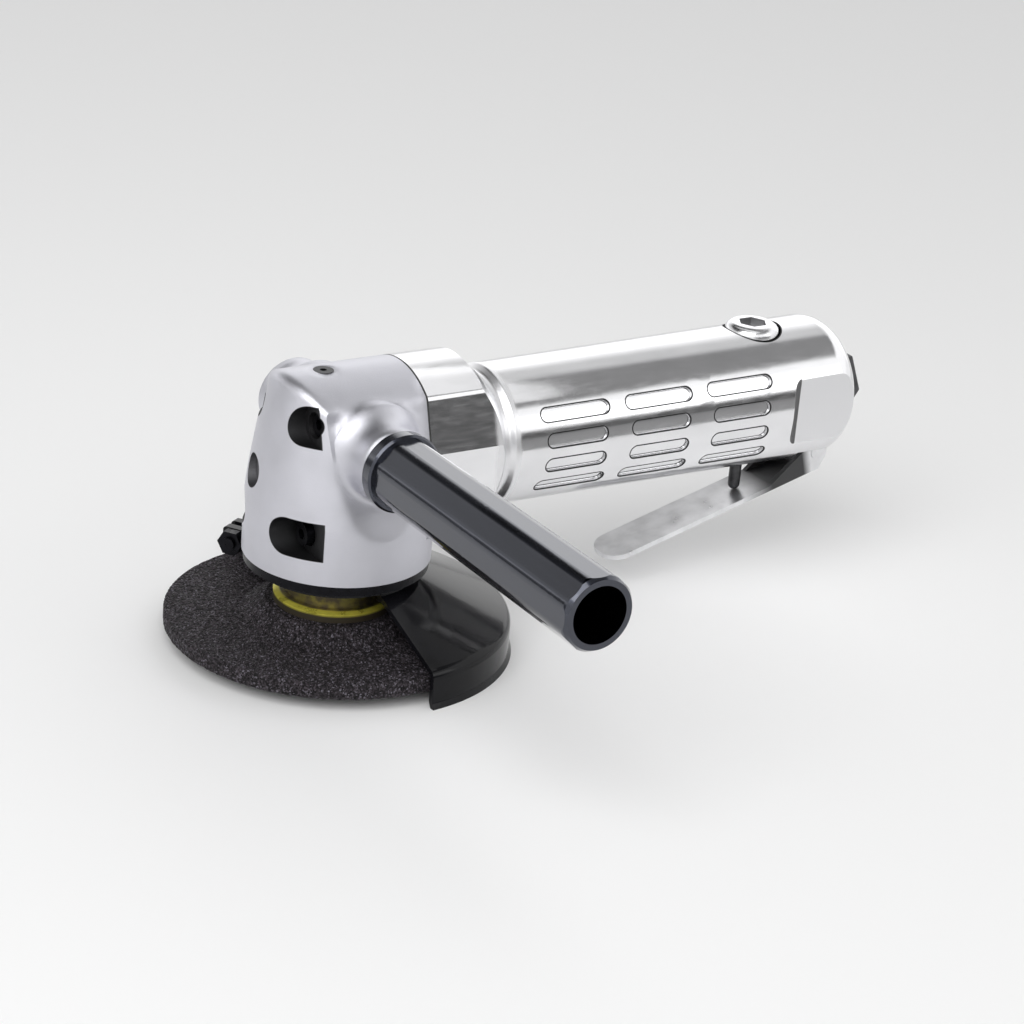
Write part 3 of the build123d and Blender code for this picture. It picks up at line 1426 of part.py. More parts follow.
# Side grip: collar, eight sided handle, deep bore and the web that its bolt clamps
with BuildPart() as side_grip:
    for place, flats in ((grip_collar_end, grip_flats_near), (grip_tip, grip_flats_tip)):
        with BuildSketch(Plane.XZ.offset(-place)):
            with Locations((0, grip_height)):
                eight = RegularPolygon(flats / 2, 8, major_radius=False, rotation=22.5)
                fillet(eight.vertices(), grip_edge_round)
    loft()
    revolve(
        section(
            grip_plane,
            (0, grip_collar_end),
            (grip_collar_diameter / 2, grip_collar_end),
            (grip_collar_diameter / 2, grip_tip + grip_tip_turned_length),
            (grip_tip_turned / 2, grip_tip + grip_tip_turned_length),
            (grip_tip_shoulder / 2, grip_tip + grip_tip_shoulder_length),
            (grip_tip_diameter / 2, grip_tip),
            (0, grip_tip),
        ),
        axis=grip_axis,
        mode=Mode.INTERSECT,
    )
    revolve(
        section(
            grip_plane,
            (0, grip_root),
            (grip_collar_diameter / 2 - edge_break, grip_root),
            (grip_collar_diameter / 2, grip_root - edge_break),
            (grip_collar_diameter / 2, grip_collar_end + edge_break),
            (grip_collar_diameter / 2 - edge_break, grip_collar_end),
            (0, grip_collar_end),
        ),
        axis=grip_axis,
    )
    with BuildSketch(Plane.XZ.offset(-grip_tip)):
        with Locations((0, grip_height)):
            Circle(grip_bore / 2)
    extrude(amount=grip_web - grip_length, mode=Mode.SUBTRACT)
    with BuildSketch(Plane.XZ.offset(-grip_root)):
        with Locations((0, grip_height)):
            Circle(grip_thread / 2 + screw_gap)
    extrude(amount=grip_web, mode=Mode.SUBTRACT)

with BuildPart() as grip_bolt:
    bolt_seat = grip_root - grip_web
    with BuildSketch(Plane.XZ.offset(-bolt_seat)):
        with Locations((0, grip_height)):
            Circle(grip_bolt_head / 2)
    extrude(amount=grip_bolt_head_height)
    with BuildSketch(Plane.XZ.offset(-bolt_seat)):
        with Locations((0, grip_height)):
            Circle(grip_thread / 2)
    extrude(amount=thread_end - grip_web - grip_thread_depth)
    with BuildSketch(Plane.XZ.offset(-bolt_seat + grip_bolt_head_height)):
        with Locations((0, grip_height)):
            RegularPolygon(grip_bolt_socket / 2, 6, major_radius=False)
    extrude(amount=-grip_bolt_head_height / 2, mode=Mode.SUBTRACT)

pieces = {
    "motor_housing": motor_housing,
    "gear_head": gear_head,
    "head_gasket": head_gasket,
    "grease_fitting": grease_fitting,
    "wheel_guard": wheel_guard,
    "guard_clamp_screw": guard_clamp_screw,
    "guard_clamp_nut": guard_clamp_nut,
    "inner_flange": inner_flange,
    "grinding_wheel": grinding_wheel,
    "flange_nut": flange_nut,
    "spindle": spindle,
    "bevel_gear": bevel_gear,
    "gear_key": gear_key,
    "snap_ring": snap_ring,
    "bevel_pinion": bevel_pinion,
    "lower_bearing": lower_bearing,
    "upper_bearing": upper_bearing,
    "bearing_cap": bearing_cap,
    "spindle_seal": spindle_seal,
    "front_plate": front_plate,
    "front_bearing": front_bearing,
    "motor_cylinder": motor_cylinder,
    "rotor": rotor,
    "rear_plate": rear_plate,
    "rear_bearing": rear_bearing,
    "thrust_washer": thrust_washer,
    "valve_bush": valve_bush,
    "valve_stem": valve_stem,
    "valve_spring": valve_spring,
    "valve_plug": valve_plug,
    "plug_seal": plug_seal,
    "inlet_bushing": inlet_bushing,
    "inlet_screen": inlet_screen,
    "throttle_lever": throttle_lever,
    "lever_pin": lever_pin,
    "side_grip": side_grip,
    "grip_bolt": grip_bolt,
}
pieces.update({f"head_screw_{index + 1}": screw for index, screw in enumerate(head_screws)})
pieces.update({f"rotor_vane_{index + 1}": vane for index, vane in enumerate(rotor_vanes)})
os.makedirs("parts", exist_ok=True)
for label, piece in pieces.items():
    piece.part.label = label
    export_step(piece.part, f"parts/{label}.step")
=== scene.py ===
"""Looks of an air angle grinder: the finishes of its castings, steel and coats, its wheel, threads and
valve spring, and the stage."""
import json
import math
import random

import bmesh
import bpy
from bpy.props import FloatProperty, FloatVectorProperty, IntProperty, PointerProperty
from mathutils import Matrix, Vector


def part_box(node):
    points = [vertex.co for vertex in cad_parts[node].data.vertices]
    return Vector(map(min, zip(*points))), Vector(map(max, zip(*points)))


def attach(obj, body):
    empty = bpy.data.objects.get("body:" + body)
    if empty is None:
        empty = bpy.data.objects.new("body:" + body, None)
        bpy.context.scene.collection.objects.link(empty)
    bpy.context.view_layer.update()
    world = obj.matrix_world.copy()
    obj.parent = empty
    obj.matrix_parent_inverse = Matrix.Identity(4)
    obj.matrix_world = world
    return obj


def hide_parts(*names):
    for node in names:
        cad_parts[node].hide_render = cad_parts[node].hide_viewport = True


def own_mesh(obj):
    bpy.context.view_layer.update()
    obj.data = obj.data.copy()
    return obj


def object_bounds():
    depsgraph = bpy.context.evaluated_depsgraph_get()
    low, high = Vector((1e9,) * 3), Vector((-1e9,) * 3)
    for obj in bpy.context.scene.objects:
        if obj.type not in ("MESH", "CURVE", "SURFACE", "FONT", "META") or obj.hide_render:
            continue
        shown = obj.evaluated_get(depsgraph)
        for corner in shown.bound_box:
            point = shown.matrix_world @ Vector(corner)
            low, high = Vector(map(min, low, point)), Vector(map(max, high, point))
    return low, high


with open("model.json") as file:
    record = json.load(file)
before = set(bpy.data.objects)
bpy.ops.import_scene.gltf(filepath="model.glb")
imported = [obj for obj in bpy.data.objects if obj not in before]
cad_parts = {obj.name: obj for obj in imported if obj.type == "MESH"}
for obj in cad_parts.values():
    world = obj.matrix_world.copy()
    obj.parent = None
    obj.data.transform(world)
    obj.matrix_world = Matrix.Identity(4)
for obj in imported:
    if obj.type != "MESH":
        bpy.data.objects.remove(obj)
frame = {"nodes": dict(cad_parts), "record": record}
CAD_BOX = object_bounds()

bl_info = {
    "name": "Air Angle Grinder",
    "version": (1, 0, 0),
    "blender": (4, 5, 0),
    "location": "View3D > Sidebar > Grinder",
    "description": "Finishes, wheel, threads, valve spring and stage of an air angle grinder",
    "category": "Object",
}

NODES = frame["nodes"]
MOUNTS = {mount["name"]: mount for mount in frame["record"]["mounts"]}
MOTOR_HEIGHT = MOUNTS["air_inlet"]["pos_m"][2]
GRIT_SEED = 27

SHARP = 0.00006                 # half width of the edge between two finishes
NEAR = 0.00012                  # a place this near to a surface belongs to it
FINE = (0.0005, 2, (1, 1, 0.2))     # marks of turning: size, detail and stretch

# Places on the castings where the finish changes, in metres and radians
POCKET_ACROSS = 0.0132          # screw axes from the middle of the head
POCKET_RISE = 0.0165            # and from the motor's height
POCKET_RADIUS = 0.0057
POCKET_FLOOR = -0.0172
POCKET_SLACK = 0.00015
MARGIN_WIDTH, MARGIN_BLUR = 0.0022, 0.0016      # the edges stay sharp around a pocket
MARGIN_DEPTH, MARGIN_FADE = 0.004, 0.003
SCREW_BORE = 0.0039
NOSE_TURN = math.radians(168)
NOSE_HEIGHT = 0.0427
NOSE_RADIUS = 0.005
NOSE_REACH = 0.020              # the nose recess lies further out than this
NOSE_SLACK = 0.0001
BROW_HEIGHT = 0.058             # the head's front runs softly into its roof above this
BROW_BLUR, BROW_RUNOUT = 0.003, 0.006
BOSS_RADIUS, BOSS_BLUR = 0.028, 0.003           # flare at the foot of a grip boss
BOSS_START, BOSS_END, BOSS_EDGE = 0.012, 0.0285, 0.001
BLASTED_ROUND = 0.0045
FLAT_REACH = 0.0198             # wrench flats from the middle of the barrel
FLAT_START = 0.1514
FLAT_SLACK, FLAT_BLUR = 0.00008, 0.00002
RUNOUT_RADIUS, RUNOUT_BAND = 0.0035, 0.0002
BARREL_START = 0.0466           # the barrel is a slender cone from here
BARREL_RADIUS = 0.0215
BARREL_TAPER = 0.0085
CONE_START, CONE_END = 0.0482, 0.1660
WAIST_START = 0.0396
WAIST_BLUR, WAIST_FADE = 0.0008, 0.0006
SLOT_FIRST, SLOT_PITCH = 0.068, 0.030
SLOT_ROW = math.radians(21)
SLOT_LONG, SLOT_SHORT = 0.024, 0.021
SLOT_WIDTH = 0.0042
SLOT_DEPTH = 0.0008
SLOT_BLEND = 0.01               # from the short rows to the long ones, in radians
SLOT_SHADE_INSIDE, SLOT_SHADE_OUTSIDE = -0.0002, 0.0004       # painted shade that outlines a slot
PLUG_RING, PLUG_RISE = 0.00085, 0.015           # painted shade in the gap around the plug
SOCKET_REACH, SOCKET_DROP = 0.0048, 0.0002      # painted shade in the hexagon of the plug

# Places on the lever and the flange
LEVER_SLOPE = math.radians(15.2)
# painted shade on the lever under the barrel, near its pivot
PIVOT_SHADE_START, PIVOT_SHADE_START_BLUR = 0.004, 0.0015
PIVOT_SHADE_END, PIVOT_SHADE_END_BLUR = 0.024, 0.006
FLANGE_EDGE, FLANGE_BLUR = 0.0017, 0.0003       # yellow edge of the flange
FLANGE_FACE = 0.0012
FLANGE_SHADE, FLANGE_SHADE_BLUR = 0.0021, 0.0004
# pale top of the flange: painted highlight along with rubbed plating
FLANGE_WEAR_HIGHLIGHT, FLANGE_WEAR_HIGHLIGHT_BLUR = 0.0013, 0.0002

# Profile of a thread's ridge: share of the pitch at its foot and top
RIDGE_STEPS = 36
RIDGE_SUNK = 0.00005
RIDGE_FOOT, RIDGE_TOP = (0.04, 0.96), (0.44, 0.56)

MIDDLE = Vector((0.06, -0.03, 0.03))
LAMPS = (
    ("key_lamp", (-0.7, -0.6, 1.1), MIDDLE, (1.2, 1.2), "key"),
    ("fill_lamp", (0.9, -0.9, 0.6), MIDDLE, (0.45, 0.45), "fill"),
    ("card_lamp", (0.130, 0.018, 0.27), (0.015, -0.005, 0.07), (0.27, 0.08), "card"),
)
CAMERA_PLACE = (-0.41263, -0.70322, 0.37731)
CAMERA_RIGHT = (0.84525, -0.52834, 0.08009)
CAMERA_UP = (0.14503, 0.37105, 0.91722)
CAMERA_BACK = (-0.51432, -0.76366, 0.39025)
SENSOR_WIDTH = 36               # millimetres


def colour(name, description, default):
    """A colour that a user may change."""
    return FloatVectorProperty(
        name=name, description=description, default=default, size=3, min=0, max=1, subtype="COLOR"
    )


def length(name, description, default):
    """A length in metres that a user may change."""
    return FloatProperty(name=name, description=description, default=default, min=0, unit="LENGTH")


def share(name, description, default):
    """A share between nothing and all."""
    return FloatProperty(name=name, description=description, default=default, min=0, max=1, subtype="FACTOR")


class MetalColours(bpy.types.PropertyGroup):
    """Colours of the bare, plated and blackened metals."""

    polished: colour("Polished casting", "Buffed aluminium of the motor housing", (0.85, 0.85, 0.865))
    satin: colour("Satin casting", "Blasted aluminium of the gear head", (0.60, 0.60, 0.645))
    # Recess: a painted shade laid in the hollows of the castings
    recess: colour("Recess", "Unpolished hollows of the castings", (0.06, 0.06, 0.063))
    ground: colour("Ground steel", "Spindle, bearings and gears", (0.62, 0.63, 0.64))
    pressed: colour("Pressed steel", "Bright throttle lever and plug", (0.80, 0.80, 0.815))
    dark: colour("Dark steel", "Inlet bushing, fitting and valve stem", (0.07, 0.07, 0.073))
    oxide: colour("Black oxide", "Bearing cap and socket screws", (0.007, 0.007, 0.009))
    zinc: colour("Yellow zinc", "Passivated flange and nut", (0.80, 0.72, 0.10))
    zinc_olive: colour("Olive zinc", "Darker bloom in the plating", (0.15, 0.125, 0.08))
    # Worn zinc: the pale top of the flange, a painted highlight along with rubbed plating
    zinc_wear_highlight: colour("Worn zinc", "Edges where the plating has rubbed pale", (0.88, 0.80, 0.72))
    brass: colour("Brass", "Seat of the throttle valve", (0.72, 0.55, 0.25))


class CoatColours(bpy.types.PropertyGroup):
    """Colours of coats, grit, rubber and sheet."""

    guard: colour("Guard coat", "Gloss black on the guard", (0.004, 0.004, 0.005))
    grip: colour("Grip coat", "Black anodised side grip", (0.036, 0.040, 0.056))
    bond: colour("Wheel bond", "Resin between the grains", (0.0022, 0.0018, 0.0021))
    grain: colour("Wheel grain", "Grit of the wheel", (0.0155, 0.0130, 0.0152))
    # Grain glint: bright cells that paint glints of light on the grit
    painted_glint: colour("Grain glint", "Fresh faces of the grit", (0.15, 0.14, 0.165))
    gasket: colour("Gasket", "Sheet in the seam of the castings", (0.03, 0.03, 0.03))
    rubber: colour("Rubber", "Seals", (0.014, 0.014, 0.015))
    vane: colour("Vane", "Phenolic laminate of the vanes", (0.22, 0.12, 0.06))


class WheelSizes(bpy.types.PropertyGroup):
    """Sizes of the grinding wheel's surface."""

    bore: length("Bore", "Radius of the hole", 0.008)
    seat: length("Seat", "Radius that the flange covers", 0.018)
    hub: length("Hub", "Radius of the raised hub's flat", 0.0205)
    slope: length("Slope", "Radial run of the step down to the rim", 0.006)
    dish: length("Dish", "How much further in the step below lies", 0.002)
    rise: length("Hub rise", "Height of the hub above the rim", 0.004)
    thickness: length("Thickness", "Thickness of hub and rim", 0.005)
    bevel: length("Worn edge", "Rounding of the rim's edges", 0.0006)
    grit: length("Grit depth", "How far the grains differ in height", 0.00024)
    row: length("Grit row", "Distance between rows of grains", 0.0007)
    around: IntProperty(name="Grains around", description="Grains in one row", default=440, min=60, max=700)
    ring_pitch: length("Ring pitch", "Distance between the pressed rings", 0.0021)
    ring_depth: length("Ring depth", "Depth of the pressed rings", 0.00016)
    cell: length("Grain size", "Size of the grains in the finish", 0.00046)


class ThreadSizes(bpy.types.PropertyGroup):
    """Sizes of the threads in the open holes."""

    inlet_pitch: length("Inlet pitch", "Pipe thread of the air inlet", 0.0014)
    inlet_run: length("Inlet run", "Threaded depth of the air inlet", 0.0165)
    grip_pitch: length("Grip pitch", "Thread of the free grip socket", 0.00125)
    grip_run: length("Grip run", "Threaded depth of the free grip socket", 0.010)
    height: length("Thread height", "Height of a ridge above its hole", 0.00025)
    lead: length("Lead", "Plain length at the mouth of a hole", 0.001)


class SpringSizes(bpy.types.PropertyGroup):
    """Sizes of the throttle valve's spring."""

    wire: length("Wire", "Thickness of the wire", 0.0009)
    turns: IntProperty(name="Turns", description="Turns of the coil", default=5, min=1, max=20)
    sides: IntProperty(name="Wire sides", description="Faces around the wire", default=8, min=4, max=32)
    steps: IntProperty(name="Steps", description="Steps in one turn", default=36, min=8, max=90)


class StageSettings(bpy.types.PropertyGroup):
    """Floor, light and view."""

    floor: colour("Floor", "Pale floor under the tool", (0.87, 0.87, 0.87))
    floor_size: length("Floor size", "Half width of the floor", 1.9)
    floor_front: length("Floor front", "How far the floor runs towards the viewer", 0.275)
    key: FloatProperty(name="Key light", description="Power of the large soft box", default=13.0, unit="POWER")
    fill: FloatProperty(name="Fill light", description="Power of the small soft box", default=0.6, unit="POWER")
    card: FloatProperty(name="Card light", description="Power of the card above", default=0.046, unit="POWER")
    room: FloatProperty(name="Room light", description="Strength of the room", default=1.7, min=0)
    ground: share("Ground", "Level of the room under the horizon", 0.53)
    horizon: share("Horizon", "Level of the room at the horizon", 0.58)
    opening: share("Opening", "Level left at the horizon on the open side", 0.10)
    wall: share("Wall", "Level of the lit walls", 0.68)
    ceiling: share("Ceiling", "Level overhead", 0.155)
    back: share("Back wall", "Level of the wall behind", 1.0)
    eave: share("Eave", "Level at the top of the wall behind", 0.39)
    corner: share("Corner", "Level left on the left of the wall behind", 0.45)
    gap: share("Gap", "Level left above that corner", 0.10)
    lens: FloatProperty(name="Lens", description="Focal length on a 36 mm sensor", default=106.3, unit="CAMERA")


class Finish:
    """A material under construction, whose patterns lie on Object coordinates."""

    def __init__(self, name, base, metallic, roughness):
        self.material = bpy.data.materials.new(name)
        self.material.use_nodes = True
        self.tree = self.material.node_tree
        self.shader = self.tree.nodes["Principled BSDF"]
        self.coordinates = self.tree.nodes.new("ShaderNodeTexCoord").outputs["Object"]
        self.relief = None
        self.set("Base Color", (*base, 1))
        self.set("Metallic", metallic)
        self.set("Roughness", roughness)

    def set(self, socket, value):
        """The same value over the whole piece."""
        self.shader.inputs[socket].default_value = value
        return self

    def feed(self, source, target):
        """Links an output, or writes a number or colour."""
        if isinstance(source, bpy.types.NodeSocket):
            self.tree.links.new(source, target)
        else:
            target.default_value = source

    def placed(self, stretch, turn=(0, 0, 0)):
        """Object coordinates scaled along each axis, after a turn."""
        mapping = self.tree.nodes.new("ShaderNodeMapping")
        mapping.inputs["Scale"].default_value = stretch
        mapping.inputs["Rotation"].default_value = turn
        self.feed(self.coordinates, mapping.inputs["Vector"])
        return mapping.outputs["Vector"]

    def axes(self):
        """The three Object coordinates."""
        parts = self.tree.nodes.new("ShaderNodeSeparateXYZ")
        self.feed(self.coordinates, parts.inputs["Vector"])
        return parts.outputs["X"], parts.outputs["Y"], parts.outputs["Z"]

    def calc(self, kind, *values):
        """One step of arithmetic."""
        step = self.tree.nodes.new("ShaderNodeMath")
        step.operation = kind
        for value, socket in zip(values, step.inputs):
            self.feed(value, socket)
        return step.outputs["Value"]

    def apart(self, first, second):
        """Distance of a place from an axis, from its two offsets."""
        squares = [self.calc("MULTIPLY", offset, offset) for offset in (first, second)]
        return self.calc("SQRT", self.calc("ADD", *squares))

    def below(self, value, limit, blur=SHARP):
        """Mask that is full where the value lies under the limit."""
        return self.spread(value, 1, 0, limit - blur, limit + blur)

    def above(self, value, limit, blur=SHARP):
        """Mask that is full where the value lies over the limit."""
        return self.spread(value, 0, 1, limit - blur, limit + blur)

    def all_of(self, *masks):
        """Mask that is full where each one is."""
        total = masks[0]
        for mask in masks[1:]:
            total = self.calc("MULTIPLY", total, mask)
        return total

    def mottle(self, size, detail=3, stretch=(1, 1, 1), turn=(0, 0, 0)):
        """Cloudy pattern, as large as size in metres."""
        noise = self.tree.nodes.new("ShaderNodeTexNoise")
        noise.inputs["Scale"].default_value = 1 / size
        noise.inputs["Detail"].default_value = detail
        self.feed(self.placed(stretch, turn), noise.inputs["Vector"])
        return noise.outputs["Fac"]

    def grains(self, size, output="Distance"):
        """Cells as large as size in metres."""
        cells = self.tree.nodes.new("ShaderNodeTexVoronoi")
        cells.inputs["Scale"].default_value = 1 / size
        self.feed(self.coordinates, cells.inputs["Vector"])
        return cells.outputs[output]

    def spread(self, pattern, low, high, start=0.3, end=0.7):
        """The pattern, stretched to lie between low and high."""
        levels = self.tree.nodes.new("ShaderNodeMapRange")
        levels.inputs["From Min"].default_value = start
        levels.inputs["From Max"].default_value = end
        levels.inputs["To Min"].default_value = low
        levels.inputs["To Max"].default_value = high
        self.feed(pattern, levels.inputs["Value"])
        return levels.outputs["Result"]

    def tint(self, pattern, *stops):
        """Colour that follows the pattern through stops of place and colour."""
        ramp = self.tree.nodes.new("ShaderNodeValToRGB")
        points = ramp.color_ramp.elements
        while len(points) < len(stops):
            points.new(1)
        for point, (place, shade) in zip(points, stops):
            point.position = place
            point.color = (*shade, 1)
        self.feed(pattern, ramp.inputs["Fac"])
        self.feed(ramp.outputs["Color"], self.shader.inputs["Base Color"])

    def gloss(self, pattern, low, high):
        """Roughness that follows the pattern."""
        self.feed(self.spread(pattern, low, high), self.shader.inputs["Roughness"])

    def lay(self, mask, shade, **levels):
        """Another colour, and other levels by socket name, where the mask is full."""
        targets = {"Base Color": (*shade, 1)} | {name.title(): level for name, level in levels.items()}
        for name, target in targets.items():
            socket = self.shader.inputs[name]
            mix = self.tree.nodes.new("ShaderNodeMix")
            mix.data_type = socket.type if socket.type == "RGBA" else "FLOAT"
            first, result = (6, 2) if socket.type == "RGBA" else (2, 0)
            before = socket.links[0].from_socket if socket.is_linked else socket.default_value
            self.feed(mask, mix.inputs[0])
            self.feed(before, mix.inputs[first])
            self.feed(target, mix.inputs[first + 1])
            self.feed(mix.outputs[result], socket)

    def bend(self, mask, normal):
        """Another normal where the mask is full."""
        meshed = self.relief or self.tree.nodes.new("ShaderNodeNewGeometry").outputs["Normal"]
        mix = self.tree.nodes.new("ShaderNodeMix")
        mix.data_type = "VECTOR"
        self.feed(mask, mix.inputs[0])
        self.feed(meshed, mix.inputs[4])
        self.feed(normal, mix.inputs[5])
        self.relief = mix.outputs[1]
        self.feed(self.relief, self.shader.inputs["Normal"])

    def curve(self, mask, *parts):
        """The exact normal of a turned surface, where the mask is full."""
        normal = self.tree.nodes.new("ShaderNodeCombineXYZ")
        for part, socket in zip(parts, normal.inputs):
            self.feed(part, socket)
        turn = self.tree.nodes.new("ShaderNodeVectorTransform")
        turn.vector_type = "NORMAL"
        turn.convert_from = "OBJECT"
        turn.convert_to = "WORLD"
        self.feed(normal.outputs["Vector"], turn.inputs["Vector"])
        self.bend(mask, turn.outputs["Vector"])

    def soften(self, mask, radius):
        """Rounder edges, as blasting leaves them, where the mask is full."""
        rounded = self.tree.nodes.new("ShaderNodeBevel")
        rounded.samples = 8
        rounded.inputs["Radius"].default_value = radius
        self.bend(mask, rounded.outputs["Normal"])

    def bump(self, pattern, depth, strength=1.0):
        """Relief of that depth in metres, laid over what is there."""
        relief = self.tree.nodes.new("ShaderNodeBump")
        relief.inputs["Strength"].default_value = strength
        relief.inputs["Distance"].default_value = depth
        self.feed(pattern, relief.inputs["Height"])
        if self.relief:
            self.feed(self.relief, relief.inputs["Normal"])
        self.relief = relief.outputs["Normal"]
        self.feed(self.relief, self.shader.inputs["Normal"])

    def on(self, *names):
        """Gives the finish to CAD nodes."""
        for name in names:
            mesh = NODES[name].data
            mesh.materials.clear()
            mesh.materials.append(self.material)


def scaled(shade, factor):
    """A lighter or darker shade of a colour."""
    return tuple(min(1.0, part * factor) for part in shade)


class GRINDER_OT_castings(bpy.types.Operator):
    """Finish the gear head and the motor housing"""

    bl_idname = "grinder.castings"
    bl_label = "Finish castings"

    def execute(self, context):
        metal = context.scene.grinder_metal
        barrel = Finish("polished_casting", metal.polished, 1.0, 0.13)
        clouds = barrel.mottle(0.010, 4, (0.5, 1, 1))
        fine = barrel.mottle(0.0006, 3)
        barrel.gloss(barrel.mottle(0.0012, 4, (0.2, 1, 1)), 0.09, 0.17)
        barrel.tint(clouds, (0.3, scaled(metal.polished, 0.93)), (0.7, scaled(metal.polished, 1.03)))
        x, y, z = barrel.axes()
        across = barrel.calc("ABSOLUTE", y)
        rise = barrel.calc("SUBTRACT", z, MOTOR_HEIGHT)
        radius = barrel.apart(y, rise)
        cone = barrel.calc("MULTIPLY_ADD", x, BARREL_TAPER, BARREL_RADIUS - BARREL_START * BARREL_TAPER)
        depth = barrel.calc("SUBTRACT", cone, radius)
        skin = barrel.below(barrel.calc("ABSOLUTE", depth), NEAR)
        floors = barrel.below(barrel.calc("ABSOLUTE", barrel.calc("SUBTRACT", depth, SLOT_DEPTH)), NEAR)
        flats = barrel.all_of(
            barrel.above(x, FLAT_START), barrel.above(across, FLAT_REACH - FLAT_SLACK, FLAT_BLUR),
            barrel.below(across, FLAT_REACH + FLAT_SLACK, FLAT_BLUR),
        )
        turned = barrel.all_of(
            barrel.calc("MAXIMUM", skin, floors), barrel.above(x, CONE_START), barrel.below(x, CONE_END),
            barrel.calc("SUBTRACT", 1.0, flats),
        )
        barrel.curve(
            turned, -BARREL_TAPER, barrel.calc("DIVIDE", y, radius), barrel.calc("DIVIDE", rise, radius)
        )
        tilt = barrel.calc("ARCTAN2", rise, across)
        row = barrel.calc("WRAP", barrel.calc("SUBTRACT", tilt, SLOT_ROW / 2), SLOT_ROW / 2, -SLOT_ROW / 2)
        group = barrel.calc("WRAP", barrel.calc("SUBTRACT", x, SLOT_FIRST), SLOT_PITCH / 2, -SLOT_PITCH / 2)
        steep = barrel.calc("ABSOLUTE", tilt)
        straight = barrel.spread(
            steep, (SLOT_SHORT - SLOT_WIDTH) / 2, (SLOT_LONG - SLOT_WIDTH) / 2,
            SLOT_ROW - SLOT_BLEND, SLOT_ROW + SLOT_BLEND,
        )
        past = barrel.calc("SUBTRACT", barrel.calc("ABSOLUTE", group), straight)
        edge = barrel.apart(
            barrel.calc("MAXIMUM", past, 0.0), barrel.calc("MULTIPLY", radius, barrel.calc("SINE", row))
        )
        edge = barrel.calc("SUBTRACT", edge, SLOT_WIDTH / 2)
        # Painted shade: a dark outline along the edges and upper walls of each slot
        slot_shade = barrel.all_of(
            barrel.above(edge, SLOT_SHADE_INSIDE), barrel.below(edge, SLOT_SHADE_OUTSIDE), barrel.below(steep, 2 * SLOT_ROW),
            barrel.above(x, SLOT_FIRST - SLOT_PITCH / 2), barrel.below(x, SLOT_FIRST + 2.5 * SLOT_PITCH),
            barrel.below(depth, SLOT_DEPTH / 2, SLOT_DEPTH / 4),
        )
        barrel.lay(slot_shade, scaled(metal.polished, 0.04), roughness=0.4)
        waist = barrel.all_of(
            barrel.above(x, WAIST_START, WAIST_BLUR), barrel.below(x, CONE_START, WAIST_FADE)
        )
        barrel.lay(waist, metal.polished, roughness=0.36)
        low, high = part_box("valve_plug")
        # Painted shade in the gap between the plug and the recess it sits in
        ring = barrel.apart(barrel.calc("SUBTRACT", x, (low.x + high.x) / 2), y)
        seat = barrel.all_of(
            barrel.below(ring, (high.x - low.x) / 2 + PLUG_RING), barrel.above(rise, PLUG_RISE)
        )
        barrel.lay(seat, scaled(metal.polished, 0.04), roughness=0.4)
        # Painted shade: a dark line along the curved end of each wrench flat
        runout = barrel.apart(
            barrel.calc("SUBTRACT", x, FLAT_START), barrel.calc("SUBTRACT", across, FLAT_REACH + RUNOUT_RADIUS)
        )
        runout_shade = barrel.all_of(
            barrel.below(x, FLAT_START), barrel.above(runout, RUNOUT_RADIUS - RUNOUT_BAND),
            barrel.below(runout, RUNOUT_RADIUS + RUNOUT_BAND),
        )
        milled = barrel.mottle(0.0005, 2, (1, 1, 0.08))
        barrel.lay(flats, scaled(metal.polished, 0.97), roughness=0.42)
        barrel.lay(runout_shade, scaled(metal.polished, 0.12), roughness=0.5, metallic=0.3)
        barrel.bump(fine, 0.000004)
        barrel.bump(barrel.calc("MULTIPLY", milled, flats), 0.00003)
        barrel.bump(barrel.mottle(0.012, 1), 0.00006, 0.4)
        barrel.on("motor_housing")

        head = Finish("satin_casting", metal.satin, 1.0, 0.42)
        blast = head.mottle(0.00035, 2)
        patches = head.mottle(0.012, 3)
        head.gloss(patches, 0.38, 0.46)
        head.tint(patches, (0.3, scaled(metal.satin, 0.95)), (0.7, scaled(metal.satin, 1.04)))
        x, y, z = head.axes()
        across = head.calc("SUBTRACT", head.calc("ABSOLUTE", y), POCKET_ACROSS)
        rise = head.calc("ABSOLUTE", head.calc("SUBTRACT", z, MOTOR_HEIGHT))
        rise = head.calc("SUBTRACT", rise, POCKET_RISE)
        pockets = head.all_of(
            head.below(head.apart(head.calc("MINIMUM", across, 0.0), rise), POCKET_RADIUS + NEAR),
            head.below(x, POCKET_FLOOR + POCKET_SLACK),
        )
        bores = head.below(head.apart(across, rise), SCREW_BORE + POCKET_SLACK)
        side = head.calc("ADD", head.calc("MULTIPLY", x, -math.sin(NOSE_TURN)),
                         head.calc("MULTIPLY", y, math.cos(NOSE_TURN)))
        ahead = head.calc("ADD", head.calc("MULTIPLY", x, math.cos(NOSE_TURN)),
                          head.calc("MULTIPLY", y, math.sin(NOSE_TURN)))
        nose = head.all_of(
            head.below(head.apart(side, head.calc("SUBTRACT", z, NOSE_HEIGHT)), NOSE_RADIUS + NOSE_SLACK),
            head.above(ahead, NOSE_REACH),
        )
